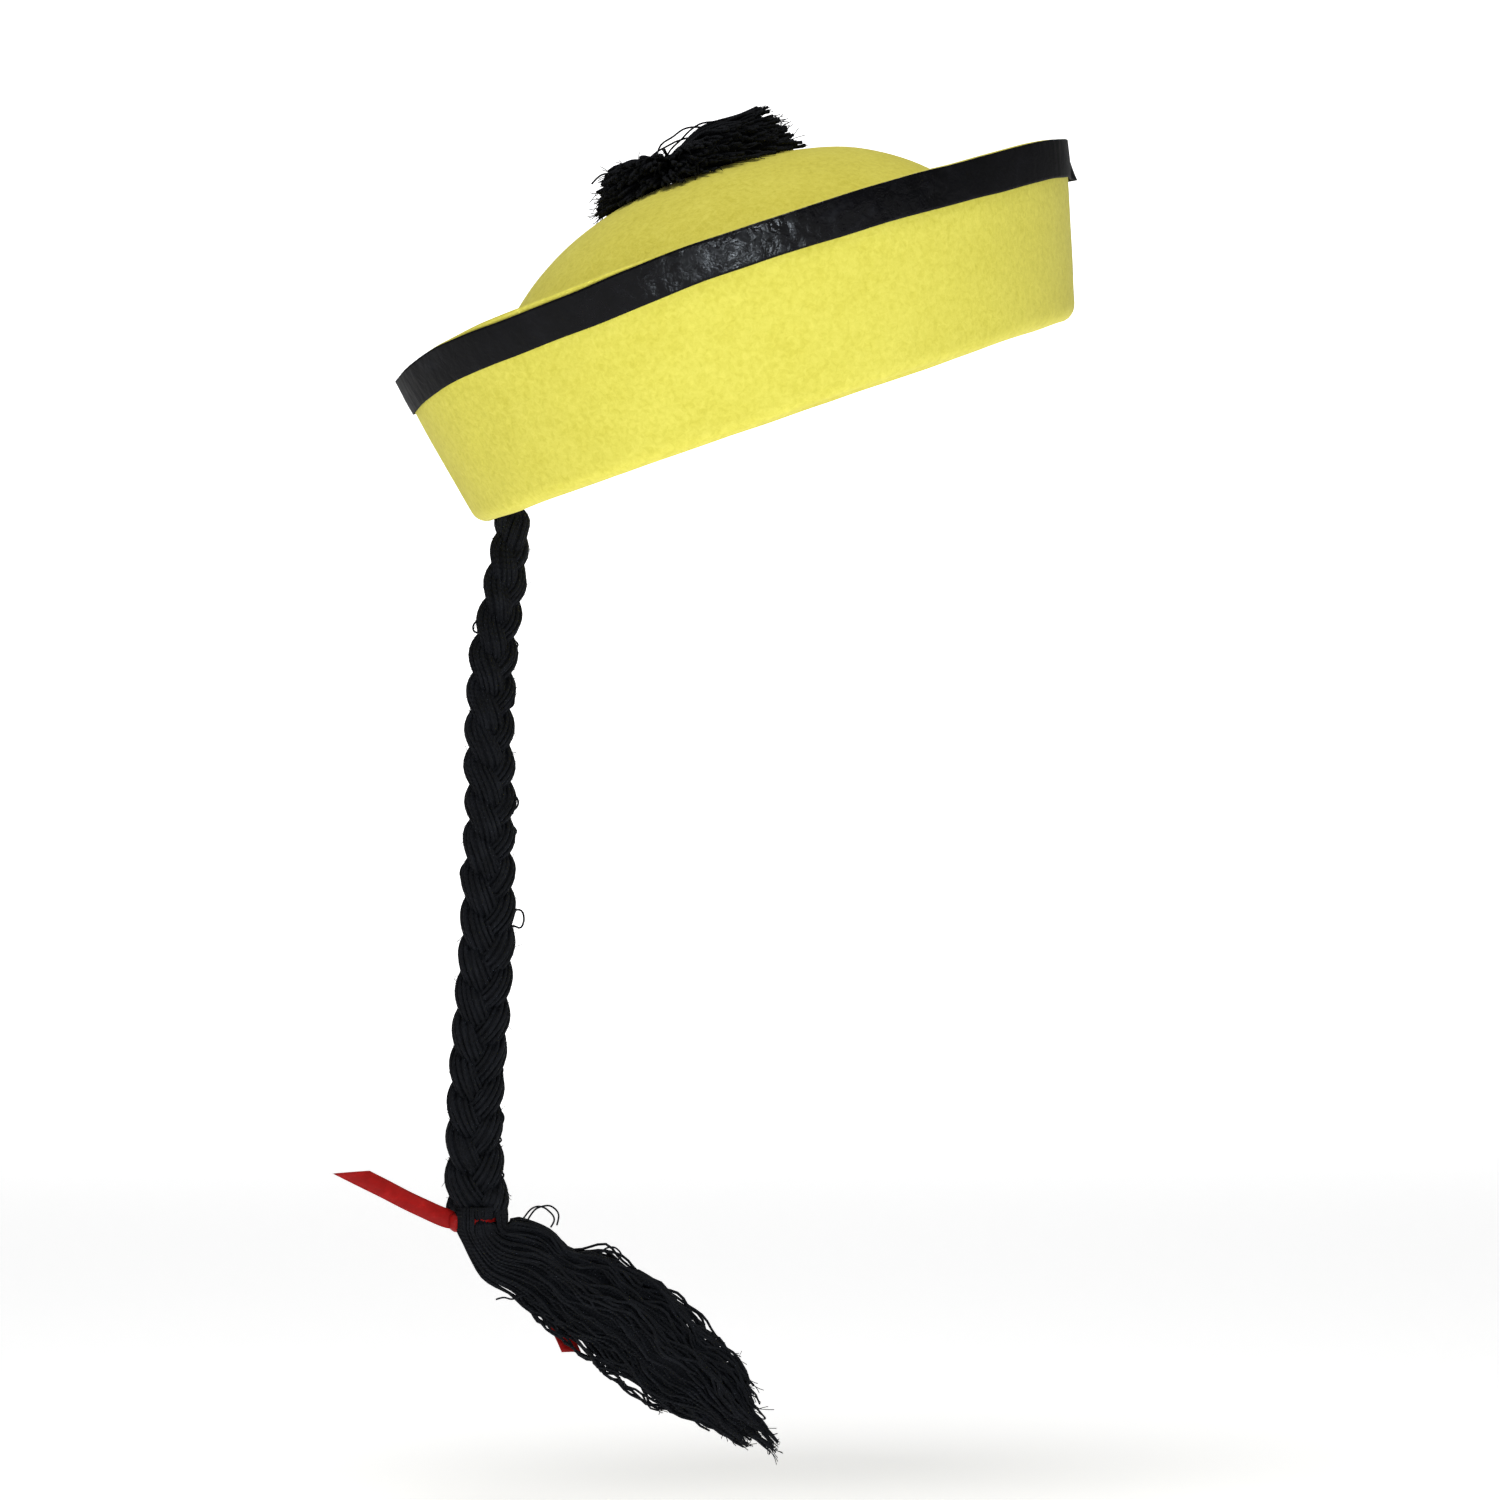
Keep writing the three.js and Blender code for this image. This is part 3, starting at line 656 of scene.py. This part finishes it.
def tape_object():
    """The satin tape: puckered along its stitching, its overlapped end lifting at the front."""
    across = TAPE_STEPS["across"]
    angle = around(TAPE_STEPS["round"])
    top = cuff_length(angle) - tape_drop(angle)
    signed = (np.degrees(angle) + 180) % 360 - 180
    front = np.exp(-((signed / TAPE_END["spread"]) ** 2))
    down_shares = np.arange(across) / (across - 1)
    shares = np.concatenate([down_shares, down_shares[::-1]])
    rows = []
    for k, share in enumerate(shares):
        lift = TAPE_GAP + TAPE_BOW * math.sin(math.pi * share)
        lift = lift + TAPE_END["lift"] * front * share ** TAPE_END["curve"]
        thickness = TAPE_THICKNESS if k < across else 0
        rows.append(place(cuff_point(angle, top - TAPE_WIDTH * share, lift + thickness), angle))
    points = np.array(rows)
    points += felt_wander(points)
    outwards = unit(np.column_stack([np.cos(angle), np.sin(angle), np.zeros(len(angle))]))
    for k, share in enumerate(shares):
        height = TAPE_PUFF + sum(
            size * np.array([noise.noise(Vector((a * along, share * cross, seed))) for a in angle])
            for along, cross, seed, size in TAPE_WAVES
        )
        points[k] += outwards * np.maximum(height, 0)[:, None]
    patch = Patch()
    patch.grid(worn(points.transpose(1, 0, 2)), loop=True)
    made = patch.object("rim_tape", SATIN_BLACK)
    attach(made, "root")
    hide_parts("brim_tape")


# Yarn pieces

def yarn_wave(t):
    """A slow sideways wave of a yarn, that grows towards its end."""
    return np.sin(t * rng.uniform(5, 11) + rng.uniform(0, 6.3)) * t


def tuft_half(angle, level):
    """Half a yarn of the tuft, over a flat crown: from the knot out to its cut end."""
    front, back = max(math.cos(angle), 0), max(-math.cos(angle), 0)
    reach = TUFT_REACH["low"] - level * (TUFT_REACH["level"] + TUFT_REACH["front"] * front**2)
    reach -= level * TUFT_REACH["back"] * back
    tip = np.array([math.cos(angle), math.sin(angle)]) * TUFT_NARROW
    tip = tip * reach * (1 + np.clip(rng.normal(0, 0.04), -0.10, 0.07))
    rim = TUFT_TIP["low"] + level * (TUFT_TIP["level"] + TUFT_TIP["front"] * front**2)
    root = TUFT_ROOT["low"] + level * TUFT_ROOT["level"]
    t = np.linspace(0.10, 1, 11)
    slow, quick = smoothstep(t, 0.0, 1.0), 0.80 * smoothstep(t, 0.0, 0.45) + 0.20 * t**2
    height = root + (rim - root) * (slow + (quick - slow) * front) + TUFT_WAVE["up"] * yarn_wave(t)
    across = np.array([-math.sin(angle), math.cos(angle)])
    sway = rng.normal(0, TUFT_WAVE["drift"]) * t**2 + TUFT_WAVE["sideways"] * yarn_wave(t)
    knot = np.array([TUFT_KNOT, 0.0])
    flat = knot + (tip - knot) * t[:, None] + across * sway[:, None]
    return np.column_stack([flat, np.maximum(height, TUFT_SEAT + YARN * 0.9)])


def tuft_line(number):
    """One yarn of the tuft: from one cut end, in under the knot and out to the other."""
    angle = GOLDEN_TURN * number + rng.normal(0, 0.12)
    level = rng.random()
    back = tuft_half(angle + math.pi + rng.normal(0, 0.3), np.clip(level + rng.normal(0, 0.1), 0, 1))
    ahead = tuft_half(angle, level)
    return smooth_line(np.vstack([back[::-1], ahead]), 27)[0]


def on_crown(flat):
    """Lays points from over a flat crown onto the dome."""
    x = flat[:, 0] + TUFT_CENTRE - CROWN_LEAN
    share = np.hypot(x / (HEAD_HALF_LENGTH + FELT), flat[:, 1] / (HEAD_HALF_WIDTH + FELT))
    dome = np.column_stack([x + CROWN_LEAN, flat[:, 1], crown_top(share, CROWN_HEIGHT)])
    return dome + felt_wander(dome) + np.column_stack([flat[:, :2] * 0, flat[:, 2]])


def fibre(patch, root, way, lengths, curl, radius):
    """A short curled fibre."""
    length = rng.uniform(*lengths)
    bend = rng.normal(0, curl, 3) * length
    t = np.linspace(0, 1, 4)[:, None]
    patch.tube(root + way * length * t + bend * t**2, radius, 3)


def fray(patch, end, ahead):
    """The plies at a yarn's cut end, opened into fine threads."""
    for _ in range(2):
        fibre(patch, end, unit(ahead + rng.normal(0, 0.45, 3)), **FRAY)


def hair(patch, root, outwards, ahead):
    """A short fine fibre that stands a little way off the yarn."""
    way = unit(outwards * rng.uniform(0.2, 0.8) + ahead * rng.choice([-1, 1]) + rng.normal(0, 0.35, 3))
    fibre(patch, root, way, **HAIR)


def tuft_object():
    patch = Patch()
    for number in range(TUFT_YARNS):
        line = worn(on_crown(tuft_line(number)))
        patch.tube(line, YARN * rng.uniform(0.85, 1.12), 5)
        if number % 3 == 0:
            fray(patch, line[-1], tangents(line)[-1])
        if number % 3 == 1:
            fray(patch, line[0], -tangents(line)[0])
    for start, top, end in TUFT_STRAYS:
        t = np.linspace(0, 1, 18)[:, None]
        loop = np.array(start) * (1 - t) ** 2 + 2 * np.array(top) * t * (1 - t) + np.array(end) * t**2
        patch.tube(worn(on_crown(loop + drift(loop, 0.006, 0.0010, 4))), STRAY_YARN["tuft"], 5)
    made = patch.object("tuft_yarns", YARN_BLACK)
    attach(made, "root")
    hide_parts("crown_tuft")


def strand_line(line, along, strand):
    """The middle of one strand: bundled at the sewn head, then plaited."""
    forwards = np.cross(tangents(line), SIDEWAYS)
    phase = 2 * np.pi * (along / PLAIT["pitch"] + strand / 3)
    scale = between(PLAIT_SWELL, "along", along, "scale")
    turn = np.radians(between(PLAIT_SWELL, "along", along, "turn"))
    x, y = PLAIT["across"] * np.sin(phase), PLAIT["through"] * np.sin(2 * phase)
    reach = scale * between(PLAIT_SWELL, "along", along, "reach")
    plaited_side = (x * np.sin(turn) + y * np.cos(turn)) * reach
    plaited_front = (x * np.cos(turn) - y * np.sin(turn)) * reach
    rest = 2 * np.pi * strand / 3 + 0.4
    bundle = BRAID_HEAD_RADIUS - PLAIT["strand"]
    share = smoothstep(along, PLAIT["starts"], PLAIT["full"])
    side = bundle * math.cos(rest) * (1 - share) + plaited_side * share
    front = bundle * math.sin(rest) * (1 - share) + plaited_front * share
    thin = between(BRAID_HEAD, "along", along, "thick") / BRAID_HEAD_RADIUS
    thin = thin + (1 - thin) * smoothstep(along, *BRAID_HEAD_ENDS)
    return line + SIDEWAYS * side[:, None] + forwards * (front * thin)[:, None], scale, thin, forwards


def core_tube(patch, line, radius, offset_of):
    """A plain dark body under the yarns, so that no light comes through between them."""
    _, normals, others = carried_frames(line)
    rings = [
        line + offset_of(radius[:, None] * (math.cos(a) * normals + math.sin(a) * others))
        for a in around(CORE_SIDES)
    ]
    patch.closed(np.stack(rings, 1), line[0], line[-1], along=0.25)


def slub(patch, line, outwards):
    """A short slack bit of yarn that stands off its strand in a low loop."""
    rises = [0.0, rng.uniform(SLUB["least"], SLUB["most"]), rng.uniform(SLUB["least"], SLUB["most"]), 0.0]
    loop = line + outwards * np.array(rises)[:, None] * SLUB["height"]
    loop = loop + rng.normal(0, SLUB["jitter"], line.shape)
    patch.tube(smooth_line(loop, 10)[0], SLUB["radius"], 4)


def braid_object():
    """Three strands of yarn, plaited, with a flat sewn head inside the hat."""
    count = BRAID_RINGS
    line, along = smooth_line([[x, 0.0, z] for x, z in BRAID_ROUTE], count)
    patch = Patch()
    flank = []
    for strand in range(3):
        middle, scale, thin, forwards = strand_line(line, along, strand)
        _, normals, others = carried_frames(middle)
        phase = 2 * np.pi * (along / PLAIT["pitch"] + strand / 3)
        bundle = smoothstep(along, PLAIT["starts"], PLAIT["full"])
        bulk = between(PLAIT_SWELL, "along", along, "bulk")
        size = scale * bulk * (1 + 0.06 * bundle * np.cos(phase) ** 2)

        def pressed(offset, thin=thin, forwards=forwards):
            """Flattens what is sewn inside the hat against the felt."""
            forward = np.sum(offset * forwards, axis=-1, keepdims=True) * forwards
            return offset + forward * (thin - 1)[:, None]

        core_tube(patch, middle, (PLAIT["strand"] - 1.7 * STRAND_YARN) * size, pressed)
        for yarn in range(STRAND_YARNS):
            steady = [np.full(count, float(yarn)), np.full(count, 3.0), along / STRAND_LAY["wave"]]
            wobble = drift(np.column_stack(steady), 1.0, 1.0, 20 + strand)
            lay = 2 * np.pi * yarn / STRAND_YARNS + along / STRAND_LAY["pitch"]
            lay = lay + STRAND_LAY["turn"] * wobble[:, 1]
            distance = (PLAIT["strand"] - STRAND_YARN) * size + STRAND_LAY["out"] * wobble[:, 0]
            outwards = np.cos(lay)[:, None] * normals + np.sin(lay)[:, None] * others
            yarn_line = middle + pressed(distance[:, None] * outwards)
            uneven = 1.0 + STRAND_LAY["thick"] * wobble[:, 2]
            patch.tube(yarn_line, STRAND_YARN * bulk**0.7 * uneven * np.sqrt(thin), 6)
            flank.append((yarn_line, outwards, tangents(yarn_line)))
    heart = line[int(count * BRAID_HEART["begins"]):]
    core_tube(patch, heart, np.full(len(heart), BRAID_HEART["radius"]), lambda offset: offset)
    for _ in range(BRAID_HAIRS):
        yarn_line, outwards, ahead = flank[rng.integers(len(flank))]
        k = rng.integers(int(count * 0.09), count - 2)
        hair(patch, yarn_line[k] + outwards[k] * STRAND_YARN * 0.7, outwards[k], ahead[k])
    for _ in range(BRAID_SLUBS):
        yarn_line, outwards, ahead = flank[rng.integers(len(flank))]
        k = rng.integers(int(count * 0.10), count - 6)
        slub(patch, yarn_line[k:k + 4], outwards[k:k + 4])
    for route in BRAID_CURLS:
        patch.tube(smooth_line(route, 26)[0], STRAY_YARN["braid"], 5)
    made = patch.object("braid_strands", YARN_BLACK)
    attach(made, "root")
    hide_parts("braid")
    return made, line, along


def tassel_middle(t):
    """The tassel's middle line, the way across it in the photograph's plane, and its half widths."""
    line, _ = smooth_line([[r["x"], 0.0, r["z"]] for r in TASSEL_ROWS], TASSEL_STEPS)
    even = np.linspace(0, 1, TASSEL_STEPS)
    run = np.concatenate([[0], np.cumsum([
        math.dist((a["x"], a["z"]), (b["x"], b["z"])) for a, b in zip(TASSEL_ROWS, TASSEL_ROWS[1:])
    ])])
    run /= run[-1]
    centre = np.column_stack([np.interp(t, even, line[:, k]) for k in range(3)])
    forwards = np.cross(tangents(line), SIDEWAYS)
    forward = unit(np.column_stack([np.interp(t, even, forwards[:, k]) for k in range(3)]))
    half, deep = (np.interp(t, run, [row[key] for row in TASSEL_ROWS]) for key in ("half", "deep"))
    return centre, forward, half, deep


def tassel_point(t, up, side):
    """Points of the tassel at shares of its length and of its half widths."""
    centre, forward, half, deep = tassel_middle(np.minimum(t, 1))
    past = np.maximum(t - 1, 0)[:, None] * 0.13
    centre = centre + unit(centre[-1] - centre[-8]) * past
    swell = sum(size * np.exp(-(((t - middle) / spread) ** 2)) for middle, spread, size in TASSEL_SWELLS)
    ends = smoothstep(t, TASSEL_ENDS["begin"], TASSEL_ENDS["full"])
    upper = (half + swell) * (1 + TASSEL_ENDS["up"] * ends)
    lower = (half + 0.0008) * (1 + TASSEL_ENDS["down"] * ends)
    deep = deep * (1 + TASSEL_ENDS["sideways"] * ends)
    half = np.where(up > 0, upper, lower)
    return centre + forward * (up * half)[:, None] + SIDEWAYS * (side * deep)[:, None]


def neck_points(up, side):
    """The way of one yarn from above the ribbon and down past it: a few go in under it, most hide it."""
    wrap = np.array([WRAP["x"], 0.0, WRAP["z"]])
    tucked = side < -0.2 and -0.25 < up < 0.5 or side > 0.2 and up < 0.0
    radial = np.array([up, side, 0.0]) / max(math.hypot(up, side), 0.75)
    lift = max(up, 0.0)
    radial = radial * np.array([0.84 if up < 0 else 1.0, 1.0, 1.0])
    points = []
    for height, radius, arch in NECK_STEPS:
        radius = NECK_TUCKED if tucked and height == 0.0 else radius
        points.append(wrap + radial * radius + np.array([arch * lift, 0.0, height + 0.9 * arch * lift]))
    return points


def tassel_line(lock, yarn):
    """One yarn of the tassel, from inside the tie to its cut end; a lock's yarns draw together there."""
    t = np.linspace(0.05, min(lock["length"] + yarn["longer"], 1.01), 34)
    gather = 1 - 0.72 * smoothstep(t, 0.68, 0.92)
    opening = 1 + lock["open"] * smoothstep(t, 0.70, 1.0)
    run = t * TASSEL_RUN
    ease = smoothstep(t, 0.05, 0.30)
    up = lock["up"] * opening + yarn["up"] * gather
    side = lock["side"] * opening + yarn["side"] * gather
    up = up + ease * lock["sway"] * np.sin(run / lock["wave"] + lock["phase"])
    up = up + ease * yarn["wander"] * np.sin(run / yarn["slow"] + yarn["turn"])
    side = side + ease * yarn["wander"] * np.cos(run / yarn["slow"] + yarn["turn"])
    up = up + ease * yarn["crimp"] * np.sin(run / yarn["wave"] + yarn["phase"])
    side = side + ease * yarn["crimp"] * np.sin(run / yarn["wave"] * 0.87 + yarn["phase"] * 2)
    line = tassel_point(t, up, side)
    neck = neck_points(up[0], side[0])
    return smooth_line(np.vstack([neck, line[1:]]), 37)[0]


def tassel_object():
    patch = Patch()
    for number in range(TASSEL_LOCKS):
        share = TASSEL_FILL * math.sqrt((number + 0.5) / TASSEL_LOCKS)
        angle = GOLDEN_TURN * number
        lock = {
            "up": share * math.cos(angle), "side": share * math.sin(angle),
            "length": np.interp(share * math.cos(angle), *TASSEL_CUT) + rng.normal(0, 0.030),
            "open": rng.uniform(-0.05, 0.25), "sway": rng.uniform(0.03, 0.08),
            "wave": rng.uniform(0.004, 0.007), "phase": rng.uniform(0, 6.3),
        }
        for _ in range(LOCK_YARNS):
            reach, turn = LOCK_SPREAD * math.sqrt(rng.random()), rng.uniform(0, 2 * math.pi)
            yarn = {
                "up": reach * math.cos(turn), "side": reach * math.sin(turn), "longer": rng.normal(0, 0.03),
                "crimp": rng.uniform(0.012, 0.050), "wave": rng.uniform(0.0013, 0.0026),
                "phase": rng.uniform(0, 6.3), "wander": rng.uniform(0.02, 0.10),
                "slow": rng.uniform(0.004, 0.009), "turn": rng.uniform(0, 6.3),
            }
            if rng.random() < 0.22:
                yarn["longer"] -= rng.uniform(0.05, 0.4)
            line = tassel_line(lock, yarn)
            radius = np.full(len(line), TASSEL_YARN * rng.uniform(0.85, 1.15))
            radius[-3:] *= (0.95, 0.88, 0.7)
            patch.tube(line, radius, 5)
            if rng.random() < 0.5:
                fray(patch, line[-1], tangents(line)[-1])
            if rng.random() < 0.5:
                for k in rng.integers(9, 36, 3):
                    outwards = unit(rng.normal(0, 1, 3))
                    hair(patch, line[k], outwards, tangents(line)[k])
    core = TASSEL_CORE
    t = np.linspace(core["first"], core["last"], core["rings"])
    centre, forward, half, deep = tassel_middle(t)
    slim = core["slim"] * (1 - 0.7 * smoothstep(t, core["narrows"], core["last"]))
    rings = [
        centre + forward * (slim * half * math.cos(a))[:, None]
        + SIDEWAYS * (slim * deep * math.sin(a))[:, None]
        for a in around(core["sides"])
    ]
    patch.closed(np.stack(rings, 1)[:, ::-1], centre[0], centre[-1], along=0.12)
    for route in TASSEL_STRAYS:
        line, _ = smooth_line(route, 26)
        patch.tube(line + drift(line, 0.004, 0.0004, 12), STRAY_YARN["tassel"], 5)
    made = patch.object("tassel_yarns", YARN_BLACK)
    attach(made, "root")
    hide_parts("braid_tassel")
    return made


def ribbon_section():
    """The points round a ribbon's section: (1 on its outer face or -1 on its inner, place across it)."""
    shares = np.linspace(-1, 1, RIBBON_COLUMNS)
    return [(1, s) for s in shares] + [(-1, s) for s in shares[::-1]]


def strip(patch, line, across, width, slant):
    """A ribbon along a line: a thin closed strip, cupped across its width and cut on a slant."""
    ahead = tangents(line)
    across = unit(across - np.sum(across * ahead, axis=1, keepdims=True) * ahead)
    face = np.cross(ahead, across)
    rows = []
    for side, s in ribbon_section():
        cut = np.clip(np.linspace(-3, 1, len(line)), 0, 1) ** 2 * slant * s
        cup = RIBBON_CUP * (s * s - 0.33)
        out = face * (side * RIBBON["thickness"] / 2 + cup)
        rows.append(line + across * (s * width / 2) + out + ahead * cut[:, None])
    patch.closed(np.stack(rows, 1)[:, ::-1], line[0], np.mean([r[-1] for r in rows], 0), along=8.0)


def ribbon_object():
    """The red ribbon: a turn round the neck, a small knot and two cut tails."""
    patch = Patch()
    tip = math.radians(WRAP["tip"])
    downwards = np.array([math.sin(tip), 0.0, -math.cos(tip)])
    forwards = np.cross(downwards, SIDEWAYS)
    turns = around(96)
    rows = []
    for side, s in ribbon_section():
        radius = WRAP["inner"] - WRAP_CUP + (RIBBON["thickness"] if side == 1 else 0) + WRAP_CUP * s * s
        ripple = sum(height * np.sin(turns * count + s * lean) for count, height, lean in WRAP_RIPPLES)
        out = np.cos(turns)[:, None] * SIDEWAYS + np.sin(turns)[:, None] * forwards
        middle = np.array([WRAP["x"], 0, WRAP["z"]]) + downwards * s * WRAP["width"] / 2
        rows.append(middle + (radius + ripple)[:, None] * out)
    patch.grid(np.stack(rows, 1), loop=True, along=10.0)
    for tail, twist in ((TAIL_UP, 0.08), (TAIL_DOWN, -0.1)):
        line, _ = smooth_line(tail["route"], 50)
        line = line + drift(line, 0.02, 0.0006, 9)
        t = np.linspace(0, 1, 50)[:, None]
        across = unit(tail["across"]) + np.array([0.0, twist, -twist]) * np.sin(t * np.pi)
        width = RIBBON["width"] * (0.86 + 0.14 * smoothstep(t[:, 0], 0.0, 0.12))[:, None]
        strip(patch, line, across, width, tail["slant"])
    turns = around(40)
    knot = np.column_stack([
        KNOT["deep"] * np.cos(turns),
        KNOT["wide"] * np.cos(turns + KNOT["lean"]),
        KNOT["high"] * np.sin(turns),
    ]) + np.array([KNOT["x"], 0, KNOT["z"]])
    ahead = unit(np.roll(knot, -1, 0) - np.roll(knot, 1, 0))
    out = unit(knot - knot.mean(0))
    other = np.cross(ahead, out)
    rows = [knot + KNOT_ROLL[0] * math.cos(a) * out + KNOT_ROLL[1] * math.sin(a) * other for a in around(12)]
    patch.grid(np.stack(rows, 1)[:, ::-1], loop=True, along=3.0)
    made = patch.object("ribbon_tie", RIBBON_RED)
    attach(made, "root")
    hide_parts("tie_ribbon")
    return made


# Camera, stage and light

def add_camera():
    data = bpy.data.cameras.new("camera")
    data.sensor_width = SENSOR
    data.lens = SENSOR * CAMERA_AWAY / PHOTO_WIDTH
    camera = bpy.data.objects.new("camera", data)
    turn = math.radians(CAMERA_TURN)
    back = Vector((math.sin(turn), -math.cos(turn), 0.0))
    camera.location = Vector(PHOTO_CENTRE) + back * CAMERA_AWAY
    camera.rotation_euler = (-back).to_track_quat("-Z", "Y").to_euler()
    bpy.context.scene.collection.objects.link(camera)
    bpy.context.scene.camera = camera


def stage_sheet(name, profile, sides, glow):
    """A pale sheet, level or swept up."""
    patch = Patch()
    patch.grid(np.array([[[x, y, FLOOR + z] for x in sides] for y, z in profile]), ring=False)
    white = stage_material("white_" + name, glow)
    patch.object(name, white)


def add_stage():
    """A pale floor that reaches past the camera on every side, and a backdrop behind the hat."""
    stage_sheet("floor", [(y, 0.0) for y in FLOOR_REACH["y"]], FLOOR_REACH["x"], FLOOR_REACH["glow"])
    y, sweep = BACKDROP["y"], BACKDROP["sweep"]
    turns = np.radians(np.arange(0, 91, 6))
    profile = [(y + sweep * math.sin(a), sweep - sweep * math.cos(a)) for a in turns]
    stage_sheet("backdrop", profile + [(y + sweep, BACKDROP["top"])], BACKDROP["x"], BACKDROP["glow"])


def add_light(name, place, aim, size, power, colour):
    data = bpy.data.lights.new(name, "AREA")
    data.shape = "ELLIPSE"
    data.size, data.size_y = size
    data.energy = power
    data.color = colour
    light = bpy.data.objects.new(name, data)
    light.location = place
    light.rotation_euler = (Vector(aim) - Vector(place)).to_track_quat("-Z", "Y").to_euler()
    bpy.context.scene.collection.objects.link(light)


def add_world():
    """A white world that lights the hat softly, and looks as pale as the floor past the floor's far edge."""
    world = bpy.data.worlds.new("world")
    world.use_nodes = True
    tree = world.node_tree
    background = tree.nodes["Background"]
    background.inputs["Color"].default_value = (*WHITE, 1.0)
    seen = tree.nodes.new("ShaderNodeLightPath").outputs["Is Camera Ray"]
    strength = tree.nodes.new("ShaderNodeMath")
    strength.operation = "MULTIPLY_ADD"
    strength.inputs[1].default_value = WORLD_SEEN - WORLD_LIGHT
    strength.inputs[2].default_value = WORLD_LIGHT
    tree.links.new(seen, strength.inputs[0])
    tree.links.new(strength.outputs["Value"], background.inputs["Strength"])
    bpy.context.scene.world = world


add_camera()
braid_piece, braid_line, braid_along = braid_object()
tassel_piece = tassel_object()
ribbon_piece = ribbon_object()
felt_object()
tape_object()
tuft_object()
add_stage()
add_world()
for light in LIGHTS:
    add_light(*light)
bpy.context.scene.view_settings.view_transform = "Standard"
